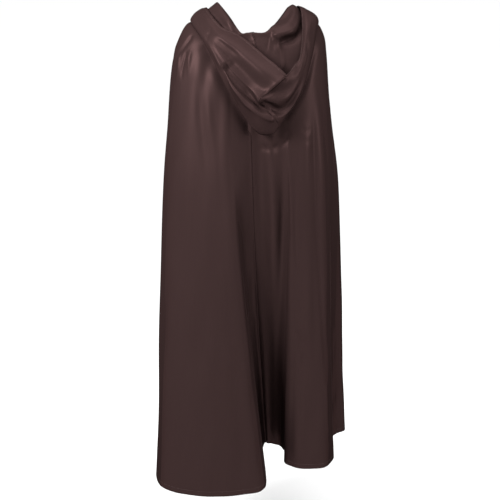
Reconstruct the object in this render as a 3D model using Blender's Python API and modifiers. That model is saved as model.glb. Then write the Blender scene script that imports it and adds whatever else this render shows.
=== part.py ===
"""Full-length hooded cloak in thin cloth, worn by no one, with the hood thrown back.

+X is the wearer's left, +Y the wearer's back, +Z up. The origin is the middle of
the neck opening at the height where the cloth lies on the shoulders.
"""

from collections import namedtuple

import bpy
import numpy as np

WALL = 0.0015
SEAM_GAP = 0.0003
HOOD_SEAM_GAP = 0.0006
CLOTH_COLOUR = (0.060, 0.036, 0.033)
CLOTH_ROUGHNESS = 0.55

# Seams round the body, as turns in degrees from the wearer's left by way of the back.
SIDE_SEAM_LEFT = -4.0
CENTRE_BACK = 90.0
SIDE_SEAM_RIGHT = 184.0
CENTRE_FRONT = 270.0

# Rows and columns of the grids, and how far the columns follow the length of the hem.
BODY_ROWS = 21
BACK_COLUMNS = 27
FRONT_COLUMNS = 17
HOOD_COLUMNS = 25
SHARE_BY_HEM = 0.7
FINE_STEPS = 400

# The narrow columns beside the seams, and the room that a bend at a seam needs.
SEAM_TURN = 0.6
SEAM_PLACE = 0.03
BEND_ROOM = 1.9
MOST_OF_A_COLUMN = 0.6
MOST_BEND = -0.1

# How the hood is kept off the body: full clearance from the shoulder to the back,
# less towards the throat, with a soft change of the given height.
SOFTNESS = 0.002
THROAT_ROOM = (0.6, 0.8, 1.0, 1.0)
LOWEST_LEVEL = 8
LEVEL_STEP = 0.1
TURN_STEP = 2.0

# Sections of the cloth from the neck down: half widths, depths and heights at the
# sides, the back and the front, and how square the section is (2 is an ellipse).
Ring = namedtuple(
    "Ring", "name x_left x_right y_back y_front z_left z_right z_back z_front square"
)
RINGS = (
    Ring("neck", 0.084, -0.106, 0.086, -0.080, 0.000, 0.000, -0.080, -0.090, 2.0),
    Ring("collar", 0.120, -0.133, 0.100, -0.094, -0.018, -0.016, -0.100, -0.112, 2.1),
    Ring("shoulder", 0.154, -0.162, 0.111, -0.104, -0.035, -0.030, -0.125, -0.137, 2.2),
    Ring("shoulder_end", 0.181, -0.192, 0.119, -0.111, -0.048, -0.045, -0.150, -0.160, 2.3),
    Ring("shoulder_point", 0.204, -0.211, 0.125, -0.117, -0.088, -0.080, -0.185, -0.195, 2.4),
    Ring("arm_top", 0.219, -0.218, 0.130, -0.122, -0.130, -0.122, -0.220, -0.228, 2.4),
    Ring("upper_arm", 0.230, -0.226, 0.135, -0.126, -0.200, -0.200, -0.275, -0.280, 2.4),
    Ring("chest", 0.241, -0.238, 0.141, -0.130, -0.320, -0.320, -0.365, -0.365, 2.4),
    Ring("elbow", 0.252, -0.250, 0.147, -0.134, -0.480, -0.480, -0.490, -0.490, 2.4),
    Ring("hip", 0.254, -0.252, 0.148, -0.135, -0.700, -0.700, -0.700, -0.700, 2.4),
    Ring("knee", 0.254, -0.252, 0.148, -0.135, -1.050, -1.050, -1.050, -1.050, 2.4),
    Ring("hem", 0.254, -0.252, 0.148, -0.135, -1.400, -1.400, -1.400, -1.400, 2.4),
)

# Each fold falls from the shoulders at its turn round the body, starts to leave the
# smooth section at z_start and ends at its own place on the hem. Swell moves the
# line out (in, when negative) around z_swell.
Fold = namedtuple("Fold", "name turn x y z z_start power swell z_swell")
FOLDS = (
    Fold("left_side_valley", -20.0, 0.262, -0.010, -1.400, -0.30, 1.2, 0.000, -0.6),
    Fold("left_side", -4.0, 0.284, 0.080, -1.405, -0.25, 1.2, 0.000, -0.6),
    Fold("lobe_left_edge", 16.0, 0.293, 0.165, -1.410, -0.25, 1.3, 0.000, -0.6),
    Fold("lobe_left_turn", 33.0, 0.266, 0.222, -1.413, -0.22, 1.4, 0.000, -0.6),
    Fold("lobe_left", 48.0, 0.196, 0.254, -1.415, -0.20, 1.4, 0.000, -0.6),
    Fold("lobe_middle", 61.0, 0.110, 0.266, -1.415, -0.20, 1.4, 0.000, -0.6),
    Fold("lobe_right", 71.5, 0.020, 0.262, -1.410, -0.20, 1.4, 0.002, -0.5),
    Fold("lobe_lip", 77.0, -0.038, 0.240, -1.408, -0.20, 1.4, 0.006, -0.5),
    Fold("lobe_edge", 79.5, -0.051, 0.205, -1.405, -0.20, 1.4, 0.004, -0.5),
    Fold("recess_wall", 81.5, -0.047, 0.118, -1.392, -0.20, 1.4, 0.009, -0.5),
    Fold("recess_left", 84.0, -0.041, 0.052, -1.382, -0.20, 1.4, 0.010, -0.5),
    Fold("recess_corner", 86.5, -0.046, 0.021, -1.380, -0.20, 1.4, 0.006, -0.5),
    Fold("recess_floor", 93.0, -0.060, 0.013, -1.380, -0.20, 1.4, -0.011, -0.5),
    Fold("recess_ridge", 101.0, -0.078, 0.018, -1.380, -0.20, 1.4, 0.013, -0.55),
    Fold("recess_right", 107.5, -0.104, 0.042, -1.380, -0.20, 1.4, -0.004, -0.6),
    Fold("second_wall", 110.5, -0.114, 0.074, -1.382, -0.20, 1.4, 0.000, -0.6),
    Fold("second_edge", 113.5, -0.108, 0.113, -1.385, -0.20, 1.3, 0.003, -0.6),
    Fold("second_left", 119.0, -0.132, 0.144, -1.386, -0.20, 1.3, 0.003, -0.6),
    Fold("second_middle", 131.0, -0.188, 0.159, -1.385, -0.20, 1.2, 0.000, -0.6),
    Fold("second_right", 144.0, -0.246, 0.142, -1.383, -0.20, 1.2, 0.000, -0.6),
    Fold("second_turn", 151.0, -0.268, 0.096, -1.380, -0.25, 1.5, 0.000, -0.6),
    Fold("right_valley", 157.0, -0.263, 0.038, -1.376, -0.25, 1.5, 0.000, -0.6),
    Fold("right_floor", 161.5, -0.265, -0.006, -1.374, -0.25, 1.5, 0.000, -0.6),
    Fold("right_back", 167.0, -0.287, -0.035, -1.372, -0.25, 1.4, 0.000, -0.6),
    Fold("right_side", 176.0, -0.316, -0.052, -1.370, -0.25, 1.2, 0.000, -0.6),
    Fold("right_turn", 187.0, -0.318, -0.090, -1.372, -0.25, 1.2, 0.000, -0.6),
    Fold("right_front", 200.0, -0.286, -0.148, -1.380, -0.25, 1.2, 0.000, -0.6),
    Fold("front_lobe_right", 213.0, -0.232, -0.176, -1.385, -0.25, 1.2, 0.000, -0.6),
    Fold("front_valley_right", 228.0, -0.190, -0.140, -1.390, -0.25, 1.2, 0.000, -0.6),
    Fold("front_fold_right", 243.0, -0.142, -0.182, -1.394, -0.25, 1.2, 0.000, -0.6),
    Fold("front_lip_right", 256.0, -0.085, -0.204, -1.396, -0.25, 1.2, 0.000, -0.6),
    Fold("front_edge_right", 270.0, -0.034, -0.176, -1.396, -0.32, 1.3, 0.000, -0.6),
    Fold("front_edge_left", 270.0, 0.040, -0.178, -1.398, -0.32, 1.3, 0.000, -0.6),
    Fold("front_lip_left", 283.0, 0.090, -0.208, -1.400, -0.25, 1.2, 0.000, -0.6),
    Fold("front_fold_left", 296.0, 0.150, -0.190, -1.400, -0.25, 1.2, 0.000, -0.6),
    Fold("front_valley_left", 310.0, 0.192, -0.140, -1.400, -0.25, 1.2, 0.000, -0.6),
    Fold("front_lobe_left", 324.0, 0.246, -0.128, -1.400, -0.25, 1.2, 0.000, -0.6),
    Fold("left_front", 333.0, 0.270, -0.075, -1.400, -0.28, 1.2, 0.000, -0.6),
)
FIRST_LEFT_ROW = "front_edge_left"

# Lines of the hood from the neck to the face edge, each run from the top of the
# shoulder over the back to the centre seam.
HoodLine = namedtuple(
    "HoodLine",
    "name crest_x crest_z back_x back_y back_z mid_x mid_y mid_z low_x low_y low_z",
)
HOOD_LEFT = (
    HoodLine("neck_roll", 0.092, 0.012, 0.058, 0.060, -0.022, 0.026, 0.100, -0.065, 0.009, 0.100, -0.065),
    HoodLine("roll_out", 0.106, 0.003, 0.063, 0.084, -0.032, 0.031, 0.101, -0.074, 0.005, 0.103, -0.076),
    HoodLine("shelf", 0.124, -0.010, 0.074, 0.080, -0.048, 0.038, 0.105, -0.087, 0.005, 0.110, -0.095),
    HoodLine("inner", 0.140, -0.019, 0.091, 0.086, -0.067, 0.049, 0.117, -0.121, 0.008, 0.126, -0.147),
    HoodLine("inner_low", 0.155, -0.028, 0.110, 0.093, -0.085, 0.060, 0.129, -0.165, 0.011, 0.141, -0.229),
    HoodLine("bottom_fold", 0.166, -0.035, 0.125, 0.098, -0.093, 0.067, 0.143, -0.202, 0.006, 0.152, -0.301),
    HoodLine("lower_band", 0.163, -0.026, 0.119, 0.111, -0.096, 0.058, 0.161, -0.202, 0.004, 0.172, -0.281),
    HoodLine("sharp_ridge", 0.158, -0.020, 0.113, 0.118, -0.094, 0.055, 0.171, -0.188, 0.001, 0.188, -0.248),
    HoodLine("narrow_trough", 0.154, -0.0155, 0.109, 0.1185, -0.090, 0.049, 0.152, -0.172, -0.005, 0.164, -0.233),
    HoodLine("seam_ridge", 0.149, -0.0115, 0.105, 0.1195, -0.087, 0.046, 0.162, -0.161, -0.003, 0.191, -0.216),
    HoodLine("first_trough", 0.143, -0.0075, 0.101, 0.1195, -0.082, 0.042, 0.144, -0.143, -0.019, 0.163, -0.193),
    HoodLine("bright_band", 0.134, -0.003, 0.090, 0.119, -0.068, 0.032, 0.152, -0.110, -0.031, 0.182, -0.160),
    HoodLine("face_edge", 0.123, -0.001, 0.077, 0.096, -0.050, 0.023, 0.112, -0.074, -0.043, 0.149, -0.126),
)
HOOD_RIGHT = (
    HoodLine("neck_roll", -0.119, 0.006, -0.094, 0.050, -0.029, -0.061, 0.085, -0.048, -0.040, 0.100, -0.065),
    HoodLine("roll_out", -0.129, 0.001, -0.107, 0.084, -0.037, -0.066, 0.100, -0.058, -0.049, 0.103, -0.076),
    HoodLine("shelf", -0.139, -0.009, -0.123, 0.089, -0.056, -0.082, 0.109, -0.072, -0.060, 0.108, -0.092),
    HoodLine("inner", -0.150, -0.0175, -0.132, 0.082, -0.070, -0.093, 0.100, -0.093, -0.077, 0.126, -0.152),
    HoodLine("inner_low", -0.166, -0.026, -0.152, 0.083, -0.078, -0.121, 0.121, -0.169, -0.093, 0.137, -0.229),
    HoodLine("bottom_fold", -0.182, -0.034, -0.181, 0.074, -0.081, -0.146, 0.122, -0.212, -0.110, 0.147, -0.272),
    HoodLine("lower_band", -0.179, -0.025, -0.182, 0.080, -0.070, -0.150, 0.133, -0.203, -0.108, 0.162, -0.271),
    HoodLine("sharp_ridge", -0.173, -0.019, -0.179, 0.083, -0.061, -0.149, 0.138, -0.193, -0.098, 0.170, -0.269),
    HoodLine("narrow_trough", -0.168, -0.0145, -0.173, 0.0865, -0.057, -0.146, 0.141, -0.182, -0.090, 0.163, -0.261),
    HoodLine("seam_ridge", -0.162, -0.0105, -0.169, 0.089, -0.055, -0.144, 0.1435, -0.170, -0.092, 0.179, -0.236),
    HoodLine("first_trough", -0.155, -0.0065, -0.163, 0.0915, -0.052, -0.143, 0.1445, -0.158, -0.104, 0.170, -0.210),
    HoodLine("bright_band", -0.146, -0.001, -0.153, 0.093, -0.049, -0.140, 0.144, -0.141, -0.113, 0.167, -0.180),
    HoodLine("face_edge", -0.134, 0.003, -0.143, 0.080, -0.048, -0.135, 0.132, -0.128, -0.120, 0.151, -0.147),
)
# Each line's end on the centre seam, and the least it stands off the body.
SeamPoint = namedtuple("SeamPoint", "name x y z clear")
HOOD_SEAM = (
    SeamPoint("neck_roll", -0.007, 0.100, -0.065, 0.004),
    SeamPoint("roll_out", -0.011, 0.105, -0.079, 0.004),
    SeamPoint("shelf", -0.016, 0.113, -0.100, 0.004),
    SeamPoint("inner", -0.033, 0.130, -0.157, 0.004),
    SeamPoint("inner_low", -0.049, 0.148, -0.252, 0.004),
    SeamPoint("bottom_fold", -0.062, 0.163, -0.333, 0.005),
    SeamPoint("lower_band", -0.078, 0.176, -0.307, 0.011),
    SeamPoint("sharp_ridge", -0.061, 0.187, -0.277, 0.014),
    SeamPoint("narrow_trough", -0.046, 0.176, -0.260, 0.013),
    SeamPoint("seam_ridge", -0.025, 0.205, -0.230, 0.014),
    SeamPoint("first_trough", -0.050, 0.189, -0.215, 0.013),
    SeamPoint("bright_band", -0.077, 0.194, -0.191, 0.015),
    SeamPoint("face_edge", -0.100, 0.172, -0.172, 0.012),
)
# The left panel hangs lower than its ends just before the centre seam.
TipPoint = namedtuple("TipPoint", "name x y z")
HOOD_TIP = (
    TipPoint("neck_roll", 0.001, 0.100, -0.065),
    TipPoint("roll_out", -0.003, 0.104, -0.078),
    TipPoint("shelf", -0.005, 0.112, -0.097),
    TipPoint("inner", -0.012, 0.128, -0.152),
    TipPoint("inner_low", -0.019, 0.145, -0.247),
    TipPoint("bottom_fold", -0.030, 0.159, -0.335),
    TipPoint("lower_band", -0.036, 0.178, -0.314),
    TipPoint("sharp_ridge", -0.034, 0.192, -0.272),
    TipPoint("narrow_trough", -0.029, 0.169, -0.254),
    TipPoint("seam_ridge", -0.016, 0.200, -0.227),
    TipPoint("first_trough", -0.038, 0.175, -0.210),
    TipPoint("bright_band", -0.059, 0.189, -0.175),
    TipPoint("face_edge", -0.073, 0.163, -0.149),
)
# In front of the shoulders the hood is the shoulder's section, made smaller and
# tilted down along the neck edge to the throat.
FrontStation = namedtuple("FrontStation", "name size tilt")
HOOD_FRONT = (
    FrontStation("throat", 0.34, 45.0),
    FrontStation("collar", 0.52, 34.0),
    FrontStation("front_shoulder", 0.80, 14.0),
)
# Where each station of the hood lies along a line, and its turn on the neck edge.
LEFT_PLACES = (0.0, 0.10, 0.21, 0.32, 0.52, 0.69, 0.83, 0.93, 1.0)
RIGHT_PLACES = (0.0, 0.10, 0.21, 0.32, 0.53, 0.72, 0.88, 1.0)
NECK_TURNS_LEFT = (271.5, 304.0, 334.0, 360.0, 406.0, 433.0, 444.0, 449.0, 453.0)
NECK_TURNS_RIGHT = (268.5, 236.0, 206.0, 180.0, 144.0, 124.0, 111.0, 93.0)
# Rows of the hood's grid, counted in lines from the neck and set closer where the
# cloth rolls over the neck and folds at the bottom; the rest follow every half line.
HOOD_ROWS = (0, 0.5, 1, 1.5, 2, 3, 4, 5, 5.6, 6, 6.35, 7)
NECK_LIFT = 0.0021
NECK_INSET = 0.0015
SWELL_REACH = 0.22


def columns_of(table, *names):
    """The named columns of a table, one row per table row."""
    return np.array([[getattr(row, name) for name in names] for row in table])


def smooth(knots, values, at):
    """Values between rows of a table, on a curve through every row with no corners."""
    knots = np.asarray(knots, float)
    step = np.diff(knots)
    slope = np.diff(values, axis=0) / step[:, None]
    inner = (slope[:-1] * step[1:, None] + slope[1:] * step[:-1, None]) / (
        step[1:] + step[:-1]
    )[:, None]
    tangent = np.vstack([slope[:1], inner, slope[-1:]])
    at = np.clip(at, knots[0], knots[-1])
    i = np.clip(np.searchsorted(knots, at, side="right") - 1, 0, len(step) - 1)
    h = step[i][:, None]
    t = ((at - knots[i]) / step[i])[:, None]
    return (
        (2 * t**3 - 3 * t**2 + 1) * values[i]
        + (t**3 - 2 * t**2 + t) * h * tangent[i]
        + (3 * t**2 - 2 * t**3) * values[i + 1]
        + (t**3 - t**2) * h * tangent[i + 1]
    )


def section(turn, level):
    """Points of the smooth body at each turn (degrees) on one level of RINGS."""
    names = Ring._fields[1:]
    row = smooth(np.arange(len(RINGS)), columns_of(RINGS, *names), np.array([level]))[0]
    ring = dict(zip(names, row))
    angle = np.radians(turn)
    c, s = np.cos(angle), np.sin(angle)
    bend = 2 / ring["square"]
    width = np.where(c > 0, ring["x_left"], -ring["x_right"])
    depth = np.where(s > 0, ring["y_back"], -ring["y_front"])
    side = ring["z_right"] + (ring["z_left"] - ring["z_right"]) * (1 + c) / 2
    end = np.where(s > 0, ring["z_back"], ring["z_front"])
    x = width * np.sign(c) * np.abs(c) ** bend
    y = depth * np.sign(s) * np.abs(s) ** bend
    return np.stack([x, y, side + (end - side) * s**2], axis=1)


def folds_for(turn, left_front):
    """Fold values at each turn. Turns of the left front run on past 360 degrees."""
    split = [f.name for f in FOLDS].index(FIRST_LEFT_ROW)
    if left_front:
        rows = FOLDS[split:] + tuple(f._replace(turn=f.turn + 360) for f in FOLDS[:4])
    else:
        rows = tuple(f._replace(turn=f.turn - 360) for f in FOLDS[-3:]) + FOLDS[:split]
    names = Fold._fields[2:]
    values = smooth([f.turn for f in rows], columns_of(rows, *names), turn)
    return dict(zip(names, values.T))


def body(turn, level, left_front):
    """Points of the folded body at each turn on one level."""
    here = section(turn, level)
    low = section(turn, len(RINGS) - 1)
    fold = folds_for(turn, left_front)
    fall = (fold["z_start"] - here[:, 2]) / (fold["z_start"] - low[:, 2])
    grown = np.clip(fall, 0, 1) ** fold["power"]
    hem = np.stack([fold["x"], fold["y"], fold["z"]], axis=1)
    swell = fold["swell"] * np.exp(-(((here[:, 2] - fold["z_swell"]) / SWELL_REACH) ** 2))
    points = here + (hem - low) * grown[:, None]
    points[:, 1] += swell
    return points


def spread_turns(start, end, count, left_front):
    """Turns from start to end, closer where the hem has more cloth, with one near each seam."""
    fine = np.linspace(start, end, FINE_STEPS)
    hem = body(fine, len(RINGS) - 1, left_front)
    along = np.concatenate([[0], np.cumsum(np.linalg.norm(np.diff(hem, axis=0), axis=1))])
    share = SHARE_BY_HEM * along / along[-1] + (1 - SHARE_BY_HEM) * (fine - start) / (end - start)
    turns = np.interp(np.linspace(0, 1, count), share, fine)
    return np.concatenate([turns[:1], [start + SEAM_TURN], turns[1:-1], [end - SEAM_TURN], turns[-1:]])


def levels():
    """Levels of RINGS for the body's rows: every ring near the shoulders, then even drops."""
    z = columns_of(RINGS, "z_left")[:, 0]
    top = [0, 0.5, 1, 1.5, 2, 2.5, 3, 3.5, 4, 5, 6]
    drops = np.linspace(z[6], z[-1], BODY_ROWS - len(top) + 1)[1:]
    return top + list(np.interp(-drops, -z, np.arange(len(z))))


def body_panel(start, end, count, left_front):
    """Grid of one body panel, rows from the neck down and columns by turn."""
    turn = spread_turns(start, end, count, left_front)
    return np.array([body(turn, level, left_front) for level in levels()])


def unit(vectors):
    """The vectors with length one."""
    return vectors / np.linalg.norm(vectors, axis=-1, keepdims=True)


def part_at_seam(first, second, gap):
    """Draws the last columns of one grid and the first of the next apart by the gap.

    Where the cloth bends at the seam the walls need more room on the inside of the
    bend, which grows with the tangent of half the bend.
    """
    into_first = first[:, -2] - first[:, -1]
    into_second = second[:, 1] - second[:, 0]
    room = np.minimum(
        np.linalg.norm(into_first, axis=1), np.linalg.norm(into_second, axis=1)
    )
    into_first, into_second = unit(into_first), unit(into_second)
    cosine = np.clip(-(into_first * into_second).sum(axis=1), MOST_BEND, 1.0)
    back = gap / 2 + BEND_ROOM * WALL / 2 * np.sqrt((1 - cosine) / (1 + cosine))
    back = np.minimum(back, MOST_OF_A_COLUMN * room)[:, None]
    first[:, -1] += into_first * back
    second[:, 0] += into_second * back


def upper_body():
    """Close points of the body above the elbows and the way out from each."""
    level = np.arange(0, LOWEST_LEVEL + LEVEL_STEP / 2, LEVEL_STEP)
    full = np.arange(SIDE_SEAM_LEFT, CENTRE_FRONT + 1, TURN_STEP)
    front = np.arange(CENTRE_FRONT, SIDE_SEAM_LEFT + 361, TURN_STEP)
    places, ways = [], []
    for turn, left_front in ((full, False), (front, True)):
        grid = np.array([body(turn, each, left_front) for each in level])
        way = unit(np.cross(np.gradient(grid, axis=1), np.gradient(grid, axis=0)))
        places.append(grid.reshape(-1, 3))
        ways.append(-way.reshape(-1, 3))
    return np.concatenate(places), np.concatenate(ways)


def kept_off(grid, clear, places, ways):
    """Moves the points of a grid out where they are nearer the body than clear."""
    moved = grid.copy()
    for row, least in enumerate(clear):
        if not least.any():
            continue
        apart = ((grid[row][:, None] - places[None]) ** 2).sum(axis=2)
        near = apart.argmin(axis=1)
        height = ((grid[row] - places[near]) * ways[near]).sum(axis=1)
        wanted = (height + least + np.sqrt((height - least) ** 2 + SOFTNESS**2)) / 2
        moved[row] += (wanted - height)[:, None] * ways[near]
    return moved


def neck_edge(turn):
    """Points just over the body's neck edge, where the hood's lower edge is."""
    turn = np.asarray(turn, float)
    edge, inner = section(turn, 0.0), section(turn, 0.2)
    along = section(turn + 0.5, 0.0) - edge
    down = (inner - edge) / np.linalg.norm(inner - edge, axis=1)[:, None]
    normal = np.cross(along, down)
    normal /= np.linalg.norm(normal, axis=1)[:, None]
    normal *= np.sign(normal[:, 2:])
    return edge + normal * NECK_LIFT + down * NECK_INSET


def front_points(lines, station, turn, side):
    """The shoulder section made smaller at one place of the neck edge, tilted outward and down."""
    crest = columns_of(lines, "crest_x", "crest_z")
    start = neck_edge([180.0 if side < 0 else 0.0])[0]
    out = np.abs(crest[:, 0]) - abs(start[0])
    up = crest[:, 1] - start[2]
    c, s = np.cos(np.radians(station.tilt)), np.sin(np.radians(station.tilt))
    far = station.size * (out * c + up * s)
    high = station.size * (up * c - out * s)
    ahead = neck_edge([turn + 1.0])[0] - neck_edge([turn - 1.0])[0]
    away = np.array([ahead[1], -ahead[0], 0.0]) / np.hypot(ahead[0], ahead[1])
    points = neck_edge([turn])[0] + far[:, None] * away
    points[:, 2] += high
    return points


def hood_lines(lines, neck_turns, side):
    """Grid of a hood panel's table points: one row per line, one column per station."""
    columns = [
        front_points(lines, station, turn, side)
        for station, turn in zip(HOOD_FRONT, neck_turns)
    ]
    crest = columns_of(lines, "crest_x", "crest_z")
    columns.append(np.stack([crest[:, 0], np.zeros(len(crest)), crest[:, 1]], axis=1))
    for place in ("back", "mid", "low"):
        columns.append(columns_of(lines, place + "_x", place + "_y", place + "_z"))
    if side > 0:
        columns.append(columns_of(HOOD_TIP, "x", "y", "z"))
    columns.append(columns_of(HOOD_SEAM, "x", "y", "z"))
    return np.stack(columns, axis=1)


def hood_panel(lines, neck_turns, side, places, ways):
    """Grid of one hood panel, rows from the neck to the face edge, columns to the centre seam."""
    table = hood_lines(lines, neck_turns, side)
    stations = LEFT_PLACES if side > 0 else RIGHT_PLACES
    at = np.linspace(0, 1, HOOD_COLUMNS)
    at = np.concatenate([at[:-1], [1 - SEAM_PLACE], at[-1:]])
    long = np.array([smooth(stations, row, at) for row in table])
    turns = smooth(stations, np.array(neck_turns)[:, None], at)[:, 0]
    long = np.concatenate([neck_edge(turns)[None], long])
    knots = np.arange(len(long))
    rows = np.array(HOOD_ROWS + tuple(np.arange(HOOD_ROWS[-1] + 0.5, knots[-1] + 0.1, 0.5)))
    grid = []
    for column in long.transpose(1, 0, 2):
        apart = np.sqrt(np.linalg.norm(np.diff(column, axis=0), axis=1))
        along = np.concatenate([[0], np.cumsum(apart)])
        grid.append(smooth(along, column, np.interp(rows, knots, along)))
    clear = np.concatenate([[NECK_LIFT], columns_of(HOOD_SEAM, "clear")[:, 0]])
    room = np.interp(at, stations[:4], THROAT_ROOM)
    least = np.interp(rows, knots, clear)[:, None] * room
    least[0] = 0.0
    return kept_off(np.array(grid).transpose(1, 0, 2), least, places, ways)


def material(name):
    """A plain cloth material of its own for one node."""
    made = bpy.data.materials.new(name)
    made.use_nodes = True
    shader = made.node_tree.nodes["Principled BSDF"]
    shader.inputs["Base Color"].default_value = (*CLOTH_COLOUR, 1)
    shader.inputs["Roughness"].default_value = CLOTH_ROUGHNESS
    return made


def cloth(name, grid, collection):
    """One cloth node: the grid as an open surface with a Solidify wall."""
    rows, columns = grid.shape[:2]
    mesh = bpy.data.meshes.new(name)
    index = np.arange(rows * columns).reshape(rows, columns)
    quads = np.stack(
        [index[:-1, :-1], index[1:, :-1], index[1:, 1:], index[:-1, 1:]], axis=-1
    ).reshape(-1, 4)
    mesh.from_pydata(grid.reshape(-1, 3).tolist(), [], quads.tolist())
    mesh.polygons.foreach_set("use_smooth", np.ones(len(mesh.polygons), bool))
    mesh.update()
    obj = bpy.data.objects.new(name, mesh)
    collection.objects.link(obj)
    mesh.materials.append(material(name + "_satin"))
    wall = obj.modifiers.new("Wall", "SOLIDIFY")
    wall.thickness = WALL
    wall.offset = 0
    wall.use_even_offset = True
    return obj


def main():
    for obj in list(bpy.data.objects):
        bpy.data.objects.remove(obj)
    collection = bpy.data.collections.new("hooded_cloak")
    bpy.context.scene.collection.children.link(collection)
    back_left = body_panel(SIDE_SEAM_LEFT, CENTRE_BACK, BACK_COLUMNS, False)
    back_right = body_panel(CENTRE_BACK, SIDE_SEAM_RIGHT, BACK_COLUMNS, False)
    front_right = body_panel(SIDE_SEAM_RIGHT, CENTRE_FRONT, FRONT_COLUMNS, False)
    front_left = body_panel(CENTRE_FRONT, SIDE_SEAM_LEFT + 360, FRONT_COLUMNS, True)
    around = (back_left, back_right, front_right, front_left, back_left)
    for first, second in zip(around, around[1:]):
        part_at_seam(first, second, SEAM_GAP)
    places, ways = upper_body()
    hood_left = hood_panel(HOOD_LEFT, NECK_TURNS_LEFT, 1, places, ways)
    hood_right = hood_panel(HOOD_RIGHT, NECK_TURNS_RIGHT, -1, places, ways)[:, ::-1]
    part_at_seam(hood_left, hood_right, HOOD_SEAM_GAP)
    grids = {
        "cloak_back_left": back_left,
        "cloak_back_right": back_right,
        "cloak_front_right": front_right,
        "cloak_front_left": front_left,
        "hood_left": hood_left,
        "hood_right": hood_right,
    }
    for name, grid in grids.items():
        cloth(name, grid, collection)


main()
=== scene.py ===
"""Looks of a full-length hooded cloak in dark satin, worn by no one, hood thrown back.

Every panel is a thin shell on the form of the CAD solid that it stands for. The form
is worked out here again on a finer grid, the body from the same tables and the hood
from tables changed by up to 10 mm to lie nearer to the photograph, and then gets its
seams, hems, creases and stitches. Lengths are in metres and turns in degrees, and a
turn runs from the wearer's left by way of the back. +X is the wearer's left, +Y the
back, +Z up.
"""

from __future__ import annotations

import logging
from dataclasses import dataclass
from enum import Enum
from typing import NamedTuple, Sequence

import bpy
import numpy as np
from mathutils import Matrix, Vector


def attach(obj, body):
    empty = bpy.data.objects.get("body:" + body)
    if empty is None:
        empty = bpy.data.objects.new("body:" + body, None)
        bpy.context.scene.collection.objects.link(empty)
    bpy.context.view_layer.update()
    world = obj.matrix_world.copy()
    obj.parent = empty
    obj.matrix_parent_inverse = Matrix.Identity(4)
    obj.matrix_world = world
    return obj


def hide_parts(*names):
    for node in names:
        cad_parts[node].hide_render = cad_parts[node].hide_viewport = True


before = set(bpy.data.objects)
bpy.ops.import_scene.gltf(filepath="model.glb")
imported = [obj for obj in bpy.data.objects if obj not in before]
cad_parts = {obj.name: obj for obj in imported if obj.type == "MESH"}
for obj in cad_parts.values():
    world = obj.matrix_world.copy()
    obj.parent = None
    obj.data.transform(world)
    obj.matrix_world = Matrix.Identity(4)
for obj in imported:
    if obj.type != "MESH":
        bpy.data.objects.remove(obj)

LOG = logging.getLogger("cloak")
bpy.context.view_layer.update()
UV_NAME = "cloth"
BODY = "root"

Array = np.ndarray
Path = tuple[tuple[float, float], ...]
Colour = tuple[float, float, float]
Scale = tuple[float, float, float]

# Fine waves: how many, the spread of their lengths, and the lengths of gathers at a seam
RIPPLE_WAVES = 9
RIPPLE_SPREAD_ACROSS = (0.6, 1.7)
RIPPLE_SPREAD_DOWN = (0.7, 1.6)
PUCKER_LENGTHS = (0.013, 0.021, 0.034, 0.055)
# A sharp crease's rounded top, its wide sides and every crease's reach, in its own widths
SHARP_ROUNDING = 0.2
SHARP_SKIRT = 3
CREASE_REACH = 4
# Where the rows of a seam's allowance lie and how they drop, in shares of its width
SEAM_STEPS = (0.12, 0.4, 1.0)
SEAM_DROP = 0.45
# Turns of the rows round a hem's fold
HEM_ANGLES = (36.0, 72.0, 108.0, 144.0, 180.0)
# Extra columns and rows beside seams and edges, in shares of the panel's width or length
BESIDE_SEAM = (0.002, 0.005, 0.009, 0.014)
BELOW_NECK = (0.0015,)
ABOVE_HEM = (0.0012, 0.003, 0.006, 0.0095, 0.0104, 0.0112, 0.0121, 0.014)
INSIDE_FACE_EDGE = (0.002, 0.005, 0.009, 0.012, 0.015, 0.018, 0.021)


class Ring(NamedTuple):
    """A section of the cloth: half widths, depths, heights and how square it is."""

    name: str
    x_left: float
    x_right: float
    y_back: float
    y_front: float
    z_left: float
    z_right: float
    z_back: float
    z_front: float
    square: float


class Fold(NamedTuple):
    """One fold: its turn round the body, its place on the hem and how it grows."""

    name: str
    turn: float
    x: float
    y: float
    z: float
    z_start: float
    power: float
    swell: float
    z_swell: float


class HoodLine(NamedTuple):
    """A line of the hood from the top of the shoulder towards the centre seam."""

    name: str
    crest_x: float
    crest_z: float
    back_x: float
    back_y: float
    back_z: float
    mid_x: float
    mid_y: float
    mid_z: float
    low_x: float
    low_y: float
    low_z: float


class SeamPoint(NamedTuple):
    """A line's end on the hood's centre seam, and its least height off the body."""

    name: str
    x: float
    y: float
    z: float
    clear: float


class TipPoint(NamedTuple):
    """A point of the left hood panel just before the centre seam, where it hangs low."""

    name: str
    x: float
    y: float
    z: float


class FrontStation(NamedTuple):
    """A place of the hood in front of the shoulder: size and tilt of the shoulder's section."""

    name: str
    size: float
    tilt: float


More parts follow.
